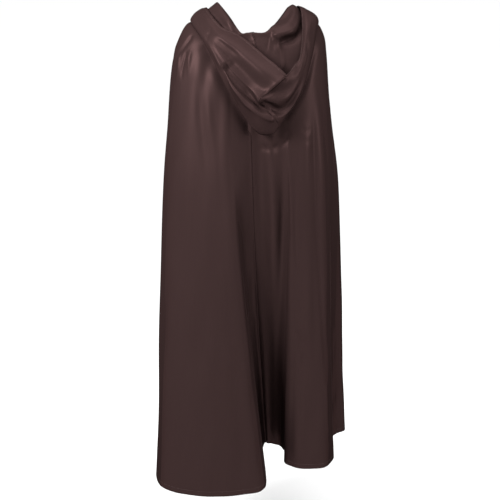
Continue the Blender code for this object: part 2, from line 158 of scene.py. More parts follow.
# Sections of the plain cloak from the neck to the hem
RINGS = (
    Ring("neck", 0.084, -0.106, 0.086, -0.080, 0.000, 0.000, -0.080, -0.090, 2.0),
    Ring("collar", 0.120, -0.133, 0.100, -0.094, -0.018, -0.016, -0.100, -0.112, 2.1),
    Ring("shoulder", 0.154, -0.162, 0.111, -0.104, -0.035, -0.030, -0.125, -0.137, 2.2),
    Ring("shoulder_end", 0.181, -0.192, 0.119, -0.111, -0.048, -0.045, -0.150, -0.160, 2.3),
    Ring("shoulder_point", 0.204, -0.211, 0.125, -0.117, -0.088, -0.080, -0.185, -0.195, 2.4),
    Ring("arm_top", 0.219, -0.218, 0.130, -0.122, -0.130, -0.122, -0.220, -0.228, 2.4),
    Ring("upper_arm", 0.230, -0.226, 0.135, -0.126, -0.200, -0.200, -0.275, -0.280, 2.4),
    Ring("chest", 0.241, -0.238, 0.141, -0.130, -0.320, -0.320, -0.365, -0.365, 2.4),
    Ring("elbow", 0.252, -0.250, 0.147, -0.134, -0.480, -0.480, -0.490, -0.490, 2.4),
    Ring("hip", 0.254, -0.252, 0.148, -0.135, -0.700, -0.700, -0.700, -0.700, 2.4),
    Ring("knee", 0.254, -0.252, 0.148, -0.135, -1.050, -1.050, -1.050, -1.050, 2.4),
    Ring("hem", 0.254, -0.252, 0.148, -0.135, -1.400, -1.400, -1.400, -1.400, 2.4),
)

# Folds at the hem, all round from the left side by way of the back to the left front
FOLDS = (
    Fold("left_side_valley", -20.0, 0.262, -0.010, -1.400, -0.30, 1.2, 0.000, -0.6),
    Fold("left_side", -4.0, 0.284, 0.080, -1.405, -0.25, 1.2, 0.000, -0.6),
    Fold("lobe_left_edge", 16.0, 0.293, 0.165, -1.410, -0.25, 1.3, 0.000, -0.6),
    Fold("lobe_left_turn", 33.0, 0.266, 0.222, -1.413, -0.22, 1.4, 0.000, -0.6),
    Fold("lobe_left", 48.0, 0.196, 0.254, -1.415, -0.20, 1.4, 0.000, -0.6),
    Fold("lobe_middle", 61.0, 0.110, 0.266, -1.415, -0.20, 1.4, 0.000, -0.6),
    Fold("lobe_right", 71.5, 0.020, 0.262, -1.410, -0.20, 1.4, 0.002, -0.5),
    Fold("lobe_lip", 77.0, -0.038, 0.240, -1.408, -0.20, 1.4, 0.006, -0.5),
    Fold("lobe_edge", 79.5, -0.051, 0.205, -1.405, -0.20, 1.4, 0.004, -0.5),
    Fold("recess_wall", 81.5, -0.047, 0.118, -1.392, -0.20, 1.4, 0.009, -0.5),
    Fold("recess_left", 84.0, -0.041, 0.052, -1.382, -0.20, 1.4, 0.010, -0.5),
    Fold("recess_corner", 86.5, -0.046, 0.021, -1.380, -0.20, 1.4, 0.006, -0.5),
    Fold("recess_floor", 93.0, -0.060, 0.013, -1.380, -0.20, 1.4, -0.011, -0.5),
    Fold("recess_ridge", 101.0, -0.078, 0.018, -1.380, -0.20, 1.4, 0.013, -0.55),
    Fold("recess_right", 107.5, -0.104, 0.042, -1.380, -0.20, 1.4, -0.004, -0.6),
    Fold("second_wall", 110.5, -0.114, 0.074, -1.382, -0.20, 1.4, 0.000, -0.6),
    Fold("second_edge", 113.5, -0.108, 0.113, -1.385, -0.20, 1.3, 0.003, -0.6),
    Fold("second_left", 119.0, -0.132, 0.144, -1.386, -0.20, 1.3, 0.003, -0.6),
    Fold("second_middle", 131.0, -0.188, 0.159, -1.385, -0.20, 1.2, 0.000, -0.6),
    Fold("second_right", 144.0, -0.246, 0.142, -1.383, -0.20, 1.2, 0.000, -0.6),
    Fold("second_turn", 151.0, -0.268, 0.096, -1.380, -0.25, 1.5, 0.000, -0.6),
    Fold("right_valley", 157.0, -0.263, 0.038, -1.376, -0.25, 1.5, 0.000, -0.6),
    Fold("right_floor", 161.5, -0.265, -0.006, -1.374, -0.25, 1.5, 0.000, -0.6),
    Fold("right_back", 167.0, -0.287, -0.035, -1.372, -0.25, 1.4, 0.000, -0.6),
    Fold("right_side", 176.0, -0.316, -0.052, -1.370, -0.25, 1.2, 0.000, -0.6),
    Fold("right_turn", 187.0, -0.318, -0.090, -1.372, -0.25, 1.2, 0.000, -0.6),
    Fold("right_front", 200.0, -0.286, -0.148, -1.380, -0.25, 1.2, 0.000, -0.6),
    Fold("front_lobe_right", 213.0, -0.232, -0.176, -1.385, -0.25, 1.2, 0.000, -0.6),
    Fold("front_valley_right", 228.0, -0.190, -0.140, -1.390, -0.25, 1.2, 0.000, -0.6),
    Fold("front_fold_right", 243.0, -0.142, -0.182, -1.394, -0.25, 1.2, 0.000, -0.6),
    Fold("front_lip_right", 256.0, -0.085, -0.204, -1.396, -0.25, 1.2, 0.000, -0.6),
    Fold("front_edge_right", 270.0, -0.034, -0.176, -1.396, -0.32, 1.3, 0.000, -0.6),
    Fold("front_edge_left", 270.0, 0.040, -0.178, -1.398, -0.32, 1.3, 0.000, -0.6),
    Fold("front_lip_left", 283.0, 0.090, -0.208, -1.400, -0.25, 1.2, 0.000, -0.6),
    Fold("front_fold_left", 296.0, 0.150, -0.190, -1.400, -0.25, 1.2, 0.000, -0.6),
    Fold("front_valley_left", 310.0, 0.192, -0.140, -1.400, -0.25, 1.2, 0.000, -0.6),
    Fold("front_lobe_left", 324.0, 0.246, -0.128, -1.400, -0.25, 1.2, 0.000, -0.6),
    Fold("left_front", 333.0, 0.270, -0.075, -1.400, -0.28, 1.2, 0.000, -0.6),
)

FIRST_LEFT_ROW = "front_edge_left"

# Lines of the left hood panel from the neck to the face edge
HOOD_LEFT = (
    HoodLine("neck_roll", 0.092, 0.012, 0.058, 0.060, -0.022,
             0.026, 0.100, -0.065, 0.009, 0.100, -0.065),
    HoodLine("roll_out", 0.106, 0.003, 0.063, 0.084, -0.032,
             0.031, 0.101, -0.074, 0.005, 0.103, -0.076),
    HoodLine("shelf", 0.124, -0.010, 0.074, 0.080, -0.048,
             0.038, 0.105, -0.087, 0.005, 0.110, -0.095),
    HoodLine("inner", 0.140, -0.019, 0.091, 0.086, -0.067,
             0.049, 0.117, -0.121, 0.008, 0.126, -0.147),
    HoodLine("inner_low", 0.155, -0.028, 0.110, 0.093, -0.085,
             0.060, 0.129, -0.165, 0.011, 0.141, -0.229),
    HoodLine("bottom_fold", 0.166, -0.035, 0.125, 0.098, -0.093,
             0.067, 0.143, -0.202, 0.006, 0.152, -0.301),
    HoodLine("lower_band", 0.163, -0.026, 0.119, 0.111, -0.096,
             0.058, 0.161, -0.202, 0.004, 0.172, -0.281),
    HoodLine("sharp_ridge", 0.158, -0.020, 0.113, 0.118, -0.094,
             0.055, 0.170, -0.187, 0.000, 0.188, -0.252),
    HoodLine("narrow_trough", 0.154, -0.0155, 0.109, 0.1185, -0.090,
             0.049, 0.162, -0.174, -0.008, 0.174, -0.236),
    HoodLine("seam_ridge", 0.149, -0.0115, 0.105, 0.1195, -0.087,
             0.046, 0.162, -0.163, -0.011, 0.183, -0.222),
    HoodLine("first_trough", 0.143, -0.0075, 0.101, 0.1195, -0.082,
             0.042, 0.146, -0.141, -0.019, 0.173, -0.196),
    HoodLine("bright_band", 0.134, -0.003, 0.090, 0.119, -0.068,
             0.032, 0.152, -0.110, -0.031, 0.182, -0.160),
    HoodLine("face_edge", 0.123, -0.001, 0.077, 0.096, -0.050,
             0.023, 0.112, -0.074, -0.043, 0.149, -0.126),
)

# Lines of the right hood panel from the neck to the face edge
HOOD_RIGHT = (
    HoodLine("neck_roll", -0.119, 0.006, -0.094, 0.050, -0.029,
             -0.061, 0.085, -0.048, -0.040, 0.100, -0.065),
    HoodLine("roll_out", -0.129, 0.001, -0.107, 0.084, -0.037,
             -0.066, 0.100, -0.058, -0.049, 0.103, -0.076),
    HoodLine("shelf", -0.139, -0.009, -0.123, 0.089, -0.056,
             -0.082, 0.109, -0.072, -0.060, 0.108, -0.092),
    HoodLine("inner", -0.150, -0.0175, -0.132, 0.082, -0.070,
             -0.093, 0.100, -0.093, -0.077, 0.126, -0.152),
    HoodLine("inner_low", -0.166, -0.026, -0.152, 0.083, -0.078,
             -0.121, 0.121, -0.169, -0.093, 0.137, -0.229),
    HoodLine("bottom_fold", -0.182, -0.034, -0.181, 0.074, -0.081,
             -0.146, 0.122, -0.212, -0.110, 0.147, -0.272),
    HoodLine("lower_band", -0.179, -0.025, -0.182, 0.080, -0.070,
             -0.150, 0.133, -0.203, -0.108, 0.162, -0.271),
    HoodLine("sharp_ridge", -0.173, -0.019, -0.179, 0.083, -0.061,
             -0.149, 0.138, -0.193, -0.101, 0.169, -0.274),
    HoodLine("narrow_trough", -0.168, -0.0145, -0.173, 0.0865, -0.057,
             -0.146, 0.141, -0.182, -0.090, 0.164, -0.264),
    HoodLine("seam_ridge", -0.162, -0.0105, -0.169, 0.089, -0.055,
             -0.144, 0.1435, -0.170, -0.092, 0.177, -0.238),
    HoodLine("first_trough", -0.155, -0.0065, -0.163, 0.0915, -0.052,
             -0.143, 0.1445, -0.158, -0.104, 0.170, -0.210),
    HoodLine("bright_band", -0.146, -0.001, -0.153, 0.093, -0.049,
             -0.140, 0.144, -0.141, -0.113, 0.167, -0.180),
    HoodLine("face_edge", -0.134, 0.003, -0.143, 0.080, -0.048,
             -0.135, 0.132, -0.128, -0.120, 0.151, -0.147),
)

# Ends of all lines on the hood's centre seam
HOOD_SEAM = (
    SeamPoint("neck_roll", -0.007, 0.100, -0.065, 0.004),
    SeamPoint("roll_out", -0.011, 0.105, -0.079, 0.004),
    SeamPoint("shelf", -0.016, 0.113, -0.100, 0.004),
    SeamPoint("inner", -0.033, 0.130, -0.157, 0.004),
    SeamPoint("inner_low", -0.049, 0.148, -0.252, 0.004),
    SeamPoint("bottom_fold", -0.062, 0.163, -0.333, 0.005),
    SeamPoint("lower_band", -0.078, 0.176, -0.307, 0.011),
    SeamPoint("sharp_ridge", -0.063, 0.188, -0.281, 0.014),
    SeamPoint("narrow_trough", -0.046, 0.178, -0.262, 0.013),
    SeamPoint("seam_ridge", -0.025, 0.200, -0.232, 0.014),
    SeamPoint("first_trough", -0.050, 0.189, -0.215, 0.013),
    SeamPoint("bright_band", -0.077, 0.194, -0.191, 0.015),
    SeamPoint("face_edge", -0.100, 0.172, -0.172, 0.012),
)

# Points of the left panel's lines where the tip hangs low
HOOD_TIP = (
    TipPoint("neck_roll", 0.001, 0.100, -0.065),
    TipPoint("roll_out", -0.003, 0.104, -0.078),
    TipPoint("shelf", -0.005, 0.112, -0.097),
    TipPoint("inner", -0.012, 0.128, -0.152),
    TipPoint("inner_low", -0.019, 0.145, -0.247),
    TipPoint("bottom_fold", -0.030, 0.159, -0.335),
    TipPoint("lower_band", -0.036, 0.178, -0.314),
    TipPoint("sharp_ridge", -0.034, 0.191, -0.276),
    TipPoint("narrow_trough", -0.029, 0.176, -0.257),
    TipPoint("seam_ridge", -0.022, 0.193, -0.236),
    TipPoint("first_trough", -0.038, 0.182, -0.211),
    TipPoint("bright_band", -0.059, 0.188, -0.178),
    TipPoint("face_edge", -0.073, 0.163, -0.149),
)

# Stations of both hood panels from the throat to the front of the shoulder
HOOD_FRONT = (
    FrontStation("throat", 0.34, 45.0),
    FrontStation("collar", 0.52, 34.0),
    FrontStation("front_shoulder", 0.80, 14.0),
)
# Places of the stations along the lines, and their turns round the neck edge
LEFT_PLACES = (0.0, 0.10, 0.21, 0.32, 0.52, 0.69, 0.83, 0.93, 1.0)
RIGHT_PLACES = (0.0, 0.10, 0.21, 0.32, 0.53, 0.72, 0.88, 1.0)
NECK_TURNS_LEFT = (271.5, 304.0, 334.0, 360.0, 406.0, 433.0, 444.0, 449.0, 453.0)
NECK_TURNS_RIGHT = (268.5, 236.0, 206.0, 180.0, 144.0, 124.0, 111.0, 93.0)
# Share of the least height off the body at the stations from the throat on
THROAT_ROOM = (0.6, 0.8, 1.0, 1.0)


class Side(Enum):
    """Sides of the wearer."""

    LEFT = 1
    RIGHT = -1


class EdgeFinish(Enum):
    """How an edge of a panel is finished."""

    OPEN = "left as cut"
    SEWN = "turned inwards and sewn to the next panel"
    HEMMED = "folded inwards and stitched down"


class Relief(Enum):
    """Shape of a crease across its line."""

    SOFT = "a round trough or ridge"
    SHARP = "a narrow line with wide soft sides"


class Crease(NamedTuple):
    """A trough (negative height) or ridge on a panel, along a path of (across, down) shares."""

    name: str
    path: Path
    width: float
    height: float
    relief: Relief = Relief.SOFT
    fade_in: float = 0.3
    fade_out: float = 0.3


def columns_of(table: Sequence[NamedTuple], *names: str) -> Array:
    """The named columns of a table.

    Args:
        table: Rows that share one NamedTuple class.
        names: Columns to read.

    Returns:
        An array with one row per table row.
    """
    return np.array([[getattr(row, name) for name in names] for row in table])


def unit(vectors: Array) -> Array:
    """The vectors with length one."""
    return vectors / np.maximum(np.linalg.norm(vectors, axis=-1, keepdims=True), 1e-12)


def smooth_each(knots: Array, values: Array, at: Array) -> Array:
    """Reads many smooth curves at once, each through all of its own points.

    Between two knots the curve is the cubic with the end tangents that a parabola
    through three neighbours has there.

    Args:
        knots: Rising places of the points, one row per curve.
        values: The points, curve by curve.
        at: Places to read, one row per curve.

    Returns:
        Points of shape (curves, places, size of a point).
    """
    step = np.diff(knots, axis=1)
    slope = np.diff(values, axis=1) / step[..., None]
    inner = slope[:, :-1] * step[:, 1:, None] + slope[:, 1:] * step[:, :-1, None]
    inner = inner / (step[:, 1:] + step[:, :-1])[..., None]
    tangent = np.concatenate([slope[:, :1], inner, slope[:, -1:]], axis=1)
    at = np.clip(at, knots[:, :1], knots[:, -1:])
    below = (at[:, :, None] >= knots[:, None, :]).sum(axis=2) - 1
    below = np.clip(below, 0, step.shape[1] - 1)
    curve = np.arange(len(knots))[:, None]
    h = step[curve, below][..., None]
    t = ((at - knots[curve, below]) / step[curve, below])[..., None]
    return (
        (2 * t**3 - 3 * t**2 + 1) * values[curve, below]
        + (t**3 - 2 * t**2 + t) * h * tangent[curve, below]
        + (3 * t**2 - 2 * t**3) * values[curve, below + 1]
        + (t**3 - t**2) * h * tangent[curve, below + 1]
    )


def smooth(knots: Sequence[float], values: Array, at: Sequence[float]) -> Array:
    """One smooth curve through all rows of a table, read at the given places."""
    rows = np.asarray(values, float)
    return smooth_each(np.asarray(knots, float)[None], rows[None], np.asarray(at, float)[None])[0]


def ease(x: Array) -> Array:
    """Rises from 0 to 1 with level ends, as 3x² - 2x³ on the clipped value."""
    x = np.clip(x, 0.0, 1.0)
    return x * x * (3 - 2 * x)


def lengths_along(points: Array, axis: int) -> Array:
    """Length of cloth from the first row or column of a grid to each point.

    Args:
        points: Grid of points.
        axis: 0 to measure down the rows, 1 to measure across the columns.

    Returns:
        Lengths of shape (rows, columns).
    """
    step = np.linalg.norm(np.diff(points, axis=axis), axis=2)
    total = np.cumsum(step, axis=axis)
    first = np.zeros_like(total[:1] if axis == 0 else total[:, :1])
    return np.concatenate([first, total], axis=axis)


def spread_evenly(points: Array, axis: int, places: Array) -> Array:
    """Moves the columns (axis 1) or rows (axis 0) of a grid to shares of their length.

    Args:
        points: Grid of points.
        axis: The axis along which the points move.
        places: Shares of the whole length, from 0 to 1.

    Returns:
        A grid with one row or column for each share.
    """
    grid = points if axis == 1 else points.swapaxes(0, 1)
    along = lengths_along(grid, 1)
    knots = along / along[:, -1:]
    knots = knots + np.linspace(0, 1e-9, knots.shape[1])
    moved = smooth_each(knots, grid, np.broadcast_to(places, (len(grid), len(places))))
    return moved if axis == 1 else moved.swapaxes(0, 1)


def normals_of(points: Array, way: int) -> Array:
    """Unit normals of a grid, from its slopes down and across; way is 1 or -1."""
    return way * unit(np.cross(np.gradient(points, axis=1), np.gradient(points, axis=0)))


@dataclass(frozen=True)
class BodyForm:
    """The folded body of the cloak, by turn round it (degrees) and level of RINGS."""

    rings: tuple[Ring, ...] = RINGS
    folds: tuple[Fold, ...] = FOLDS
    swell_reach: float = 0.22

    def section(self, turn: Array, level: Array) -> Array:
        """The smooth body without folds.

        Each level is a superellipse: half width times cos and half depth times sin, both
        to the power 2/square, with heights that run from the sides to back and front.

        Args:
            turn: Turns in degrees.
            level: Places between the rows of RINGS.

        Returns:
            Points of shape (levels, turns, 3).
        """
        names = Ring._fields[1:]
        rows = smooth(np.arange(len(self.rings)), columns_of(self.rings, *names), level)
        ring = {name: rows[:, i, None] for i, name in enumerate(names)}
        c, s = np.cos(np.radians(turn))[None], np.sin(np.radians(turn))[None]
        bend = 2 / ring["square"]
        width = np.where(c > 0, ring["x_left"], -ring["x_right"])
        depth = np.where(s > 0, ring["y_back"], -ring["y_front"])
        side = ring["z_right"] + (ring["z_left"] - ring["z_right"]) * (1 + c) / 2
        end = np.where(s > 0, ring["z_back"], ring["z_front"])
        x = width * np.sign(c) * np.abs(c) ** bend
        y = depth * np.sign(s) * np.abs(s) ** bend
        return np.stack([x, y, side + (end - side) * s**2], axis=2)

    def fold_values(self, turn: Array, left_front: bool) -> dict[str, Array]:
        """Fold columns read at each turn; the left front's turns run past 360.

        Args:
            turn: Turns in degrees.
            left_front: Whether the turns belong to the left front.

        Returns:
            The values of each column of FOLDS, by its name.
        """
        split = [fold.name for fold in self.folds].index(FIRST_LEFT_ROW)
        if left_front:
            past = tuple(f._replace(turn=f.turn + 360) for f in self.folds[:4])
            rows = self.folds[split:] + past
        else:
            before = tuple(f._replace(turn=f.turn - 360) for f in self.folds[-3:])
            rows = before + self.folds[:split]
        names = Fold._fields[2:]
        values = smooth([f.turn for f in rows], columns_of(rows, *names), turn)
        return dict(zip(names, values.T))

    def points(self, turn: Array, level: Array, left_front: bool) -> Array:
        """The body with its folds.

        The way from the plain hem to the folded hem is added in a share that grows, from
        each fold's start down, with a power of the fall; a bell curve of the height adds
        the fold's swell.

        Args:
            turn: Turns in degrees.
            level: Places between the rows of RINGS.
            left_front: Whether the turns belong to the left front.

        Returns:
            Points of shape (levels, turns, 3).
        """
        here = self.section(turn, level)
        low = self.section(turn, np.array([len(self.rings) - 1.0]))
        fold = self.fold_values(turn, left_front)
        fall = (fold["z_start"] - here[..., 2]) / (fold["z_start"] - low[..., 2])
        grown = np.clip(fall, 0, 1) ** fold["power"]
        hem = np.stack([fold["x"], fold["y"], fold["z"]], axis=1)[None]
        away = (here[..., 2] - fold["z_swell"]) / self.swell_reach
        moved = here + (hem - low) * grown[..., None]
        moved[..., 1] += fold["swell"] * np.exp(-(away**2))
        return moved


@dataclass(frozen=True)
class HoodForm:
    """One panel of the hood, by line from the neck and place along the lines."""

    side: Side
    lines: tuple[HoodLine, ...]
    places: tuple[float, ...]
    neck_turns: tuple[float, ...]
    body: BodyForm = BodyForm()
    neck_lift: float = 0.0021
    neck_inset: float = 0.0015
    level_step: float = 0.2
    turn_step: float = 0.5
    softness: float = 0.002
    coarse: int = 27
    elbow_level: float = 8.0

    def neck_edge(self, turn: Array) -> Array:
        """Points just over the body's neck edge, where the hood's lower edge is.

        Args:
            turn: Turns round the body in degrees.

        Returns:
            Points of shape (turns, 3).
        """
        edge, inner = self.body.section(turn, np.array([0.0, self.level_step]))
        along = self.body.section(turn + self.turn_step, np.array([0.0]))[0] - edge
        down = unit(inner - edge)
        normal = unit(np.cross(along, down))
        normal *= np.sign(normal[:, 2:])
        return edge + normal * self.neck_lift + down * self.neck_inset

    def front_points(self, station: FrontStation, turn: float) -> Array:
        """The shoulder's section made smaller at a turn of the neck edge and tilted.

        Args:
            station: Size and tilt of the section.
            turn: Turn of the neck edge in degrees.

        Returns:
            Points of shape (lines, 3).
        """
        crest = columns_of(self.lines, "crest_x", "crest_z")
        start = self.neck_edge(np.array([180.0 if self.side is Side.RIGHT else 0.0]))[0]
        out = np.abs(crest[:, 0]) - abs(start[0])
        up = crest[:, 1] - start[2]
        c, s = np.cos(np.radians(station.tilt)), np.sin(np.radians(station.tilt))
        far = station.size * (out * c + up * s)
        high = station.size * (up * c - out * s)
        behind, here, ahead = self.neck_edge(turn + np.array([-1.0, 0.0, 1.0]))
        way = ahead - behind
        away = unit(np.array([way[1], -way[0], 0.0]))
        moved = here + far[:, None] * away
        moved[:, 2] += high
        return moved

    def table(self) -> Array:
        """The points of the tables.

        Returns:
            Points of shape (lines, stations, 3), from the throat to the centre seam.
        """
        stations = [
            self.front_points(station, turn)
            for station, turn in zip(HOOD_FRONT, self.neck_turns)
        ]
        crest = columns_of(self.lines, "crest_x", "crest_z")
        stations.append(np.stack([crest[:, 0], np.zeros(len(crest)), crest[:, 1]], axis=1))
        for place in ("back", "mid", "low"):
            stations.append(columns_of(self.lines, place + "_x", place + "_y", place + "_z"))
        if self.side is Side.LEFT:
            stations.append(columns_of(HOOD_TIP, "x", "y", "z"))
        stations.append(columns_of(HOOD_SEAM, "x", "y", "z"))
        return np.stack(stations, axis=1)

    def free_points(self, line: Array, place: Array) -> Array:
        """The panel before it is kept off the body.

        Curves run along every line of the table, then curves across them, whose knots
        are spaced by the root of the distance so that tight rolls stay round.

        Args:
            line: Places between lines, 0 at the neck edge.
            place: Places along the lines, 1 at the centre seam.

        Returns:
            Points of shape (lines, places, 3).
        """
        table = self.table()
        curves = np.broadcast_to(np.array(self.places, float), (len(table), len(self.places)))
        along = smooth_each(curves, table, np.broadcast_to(place, (len(table), len(place))))
        turns = smooth(self.places, np.array(self.neck_turns)[:, None], place)[:, 0]
        columns = np.concatenate([self.neck_edge(turns)[None], along]).swapaxes(0, 1)
        apart = np.sqrt(np.linalg.norm(np.diff(columns, axis=1), axis=2))
        knots = np.concatenate([np.zeros((len(columns), 1)), np.cumsum(apart, axis=1)], axis=1)
        whole = np.arange(knots.shape[1])
        at = np.array([np.interp(line, whole, row) for row in knots])
        return smooth_each(knots, columns, at).swapaxes(0, 1)

    def body_points(self) -> tuple[Array, Array]:
        """Close points of the body above the elbows and the way out from each.

        Returns:
            Points and unit ways out, each of shape (points, 3).
        """
        level = np.arange(0, self.elbow_level + 0.05, 0.1)
        round_back, left_front_turns = np.arange(-4, 271, 2.0), np.arange(270, 357, 2.0)
        places, ways = [], []
        for turn, left_front in ((round_back, False), (left_front_turns, True)):
            grid = self.body.points(turn, level, left_front)
            places.append(grid.reshape(-1, 3))
            ways.append(normals_of(grid, -1).reshape(-1, 3))
        return np.concatenate(places), np.concatenate(ways)

    def push(self, line: Array, place: Array) -> Array:
        """How far the panel's points are moved out to lie clear of the body.

        The height over the nearest point of the body is raised to the least height, with
        a soft turn: the mean of both plus half the root of their squared difference and
        the squared softness.

        Args:
            line: Places between lines, 0 at the neck edge.
            place: Places along the lines, 1 at the centre seam.

        Returns:
            Moves of shape (lines, places, 3).
        """
        places, ways = self.body_points()
        grid = self.free_points(line, place)
        clear = np.concatenate([[0.0], columns_of(HOOD_SEAM, "clear")[:, 0]])
        least = np.interp(line, np.arange(len(clear)), clear)[:, None]
        least = least * np.interp(place, self.places[:4], THROAT_ROOM)
        moves = np.zeros_like(grid)
        for row in range(1, len(grid)):
            apart = ((grid[row][:, None] - places[None]) ** 2).sum(axis=2)
            near = apart.argmin(axis=1)
            height = ((grid[row] - places[near]) * ways[near]).sum(axis=1)
            over = height - least[row]
            wanted = (height + least[row] + np.sqrt(over**2 + self.softness**2)) / 2
            moves[row] = (wanted - height)[:, None] * ways[near]
        return moves

    def points(self, line: Array, place: Array) -> Array:
        """The panel, kept off the body by a push read smoothly from a coarse grid.

        Args:
            line: Places between lines, 0 at the neck edge.
            place: Places along the lines, 1 at the centre seam.

        Returns:
            Points of shape (lines, places, 3).
        """
        rows = np.arange(0, len(self.lines) + 0.1, 0.5)
        columns = np.linspace(0, 1, self.coarse)
        push = self.push(rows, columns)
        wide = smooth_each(
            np.broadcast_to(columns, (len(rows), len(columns))),
            push,
            np.broadcast_to(place, (len(rows), len(place))),
        ).swapaxes(0, 1)
        full = smooth_each(
            np.broadcast_to(rows, (len(place), len(rows))),
            wide,
            np.broadcast_to(line, (len(place), len(line))),
        ).swapaxes(0, 1)
        return self.free_points(line, place) + full


@dataclass
class Cloth:
    """A panel's grid of points with its flat coordinates, ready for relief and edges."""

    points: Array
    way: int

    def __post_init__(self) -> None:
        """Notes the flat place of each point, in metres across and down."""
        across = lengths_along(self.points, 1)
        down = lengths_along(self.points, 0)
        self.flat = np.stack([across, down], axis=2)

    def normals(self) -> Array:
        """Unit normals on the side that shows."""
        return normals_of(self.points, self.way)

    def raise_by(self, height: Array) -> None:
        """Moves each point along its normal by the given height."""
        self.points = self.points + self.normals() * height[..., None]

    def read(self, grid: Array, shares: Array) -> Array:
        """Values of a grid at (across, down) shares, straight between its points.

        Args:
            grid: Values of shape (rows, columns, size of a value).
            shares: Shares of the way across and down, of shape (places, 2).

        Returns:
            Values of shape (places, size of a value).
        """
        place = shares[:, ::-1] * (np.array(grid.shape[:2]) - 1)
        low = np.clip(np.floor(place).astype(int), 0, np.array(grid.shape[:2]) - 2)
        row, column = low[:, 0], low[:, 1]
        down, across = np.clip(place - low, 0, 1).T[..., None]
        top = grid[row, column] * (1 - across) + grid[row, column + 1] * across
        bottom = grid[row + 1, column] * (1 - across) + grid[row + 1, column + 1] * across
        return top * (1 - down) + bottom * down

    def crease(self, crease: Crease, count: int = 64, apart_layers: float = 0.1) -> Array:
        """Height of one crease over the grid.

        Across the line the height falls as a bell curve of the distance (SOFT), or as the
        exponential of minus the distance times a wider bell curve (SHARP), and it fades at
        both ends of the line.
        The distance also counts the difference of the shares, so that a layer of cloth
        that lies close but belongs to another part of the panel is left alone.

        Args:
            crease: The crease.
            count: Places on its line; the distance is taken to the straight pieces between.
            apart_layers: Metres that a difference of one whole share adds.

        Returns:
            Heights of shape (rows, columns).
        """
        knots = np.linspace(0, 1, len(crease.path))
        shares = np.clip(smooth(knots, np.array(crease.path, float), np.linspace(0, 1, count)), 0, 1)
        line = np.concatenate([self.read(self.points, shares), shares * apart_layers], axis=1)
        rows, columns = self.points.shape[:2]
        down, across = np.meshgrid(np.linspace(0, 1, rows), np.linspace(0, 1, columns), indexing="ij")
        place = np.concatenate([self.points, np.stack([across, down], axis=2) * apart_layers], axis=2)
        place = place.reshape(-1, 5)
        far = CREASE_REACH * crease.width
        close = ((place > line.min(axis=0) - far) & (place < line.max(axis=0) + far)).all(axis=1)
        spot = place[close]
        apart = ((spot[:, None] - line[None]) ** 2).sum(axis=2)
        near = apart.argmin(axis=1)
        least, t = apart.min(axis=1), near / (count - 1)
        for side in (-1, 1):
            way = line[np.clip(near + side, 0, count - 1)] - line[near]
            along = ((spot - line[near]) * way).sum(axis=1) / np.maximum((way**2).sum(axis=1), 1e-12)
            along = np.clip(along, 0, 1)
            gap = ((spot - line[near] - way * along[:, None]) ** 2).sum(axis=1)
            t = np.where(gap < least, (near + side * along) / (count - 1), t)
            least = np.minimum(gap, least)
        reach = np.sqrt(least) / crease.width
        fade = ease(t / max(crease.fade_in, 1e-6)) * ease((1 - t) / max(crease.fade_out, 1e-6))
        if crease.relief is Relief.SOFT:
            shape = np.exp(-(reach**2))
        else:
            shape = np.exp(SHARP_ROUNDING - np.sqrt(reach**2 + SHARP_ROUNDING**2))
            shape = shape * np.exp(-((reach / SHARP_SKIRT) ** 2))
        height = np.zeros(len(place))
        height[close] = crease.height * shape * fade
        return height.reshape(rows, columns)

    def with_edge(self, finish: EdgeFinish, edge: str, width: float, turn: float) -> None:
        """Adds what lies inside an edge: a seam's allowance or a hem.

        Both allowances of a seam are pressed to the side of the panel whose last column
        is sewn: its own runs back under it, and the other panel's reaches under both. A
        hem runs round a half circle and back along the inside of the cloth.

        Args:
            finish: What is added.
            edge: "top", "bottom", "first" or "last" (column).
            width: Width of the allowance or hem.
            turn: Radius of the fold.
        """
        if finish is EdgeFinish.OPEN:
            return
        points, normals, flat = self.points, self.normals(), self.flat
        if edge in ("first", "last"):
            points, normals, flat = (a.swapaxes(0, 1) for a in (points, normals, flat))
        if edge in ("top", "first"):
            points, normals, flat = points[::-1], normals[::-1], flat[::-1]
        out, end = unit(points[-1] - points[-2]), normals[-1]
        out = unit(out - (out * end).sum(axis=1, keepdims=True) * end)
        from_edge = np.linalg.norm(points - points[-1], axis=2).mean(axis=1)
        rows = []
        if finish is EdgeFinish.SEWN:
            lean, under = (1.0, 2.0) if edge == "first" else (-1.0, 1.0)
            for depth in width * np.array(SEAM_STEPS):
                rows.append(points[-1] - end * (under * turn + SEAM_DROP * depth) + out * lean * depth)
        else:
            for angle in np.radians(HEM_ANGLES):
                rows.append(points[-1] + out * turn * np.sin(angle) - end * turn * (1 - np.cos(angle)))
            for back in range(len(points) - 2, 0, -1):
                rows.append(points[back] - normals[back] * 2 * turn)
                if from_edge[back] > width:
                    break
        rows = np.array(rows)
        steps = np.linalg.norm(np.diff(np.concatenate([points[-1:], rows]), axis=0), axis=2)
        way = unit(flat[-1] - flat[-2])
        more = flat[-1] + way * np.cumsum(steps.mean(axis=1))[:, None, None]
        points, flat = np.concatenate([points, rows]), np.concatenate([flat, more])
        if edge in ("top", "first"):
            points, flat = points[::-1], flat[::-1]
        if edge in ("first", "last"):
            points, flat = points.swapaxes(0, 1), flat.swapaxes(0, 1)
        self.points, self.flat = points, flat


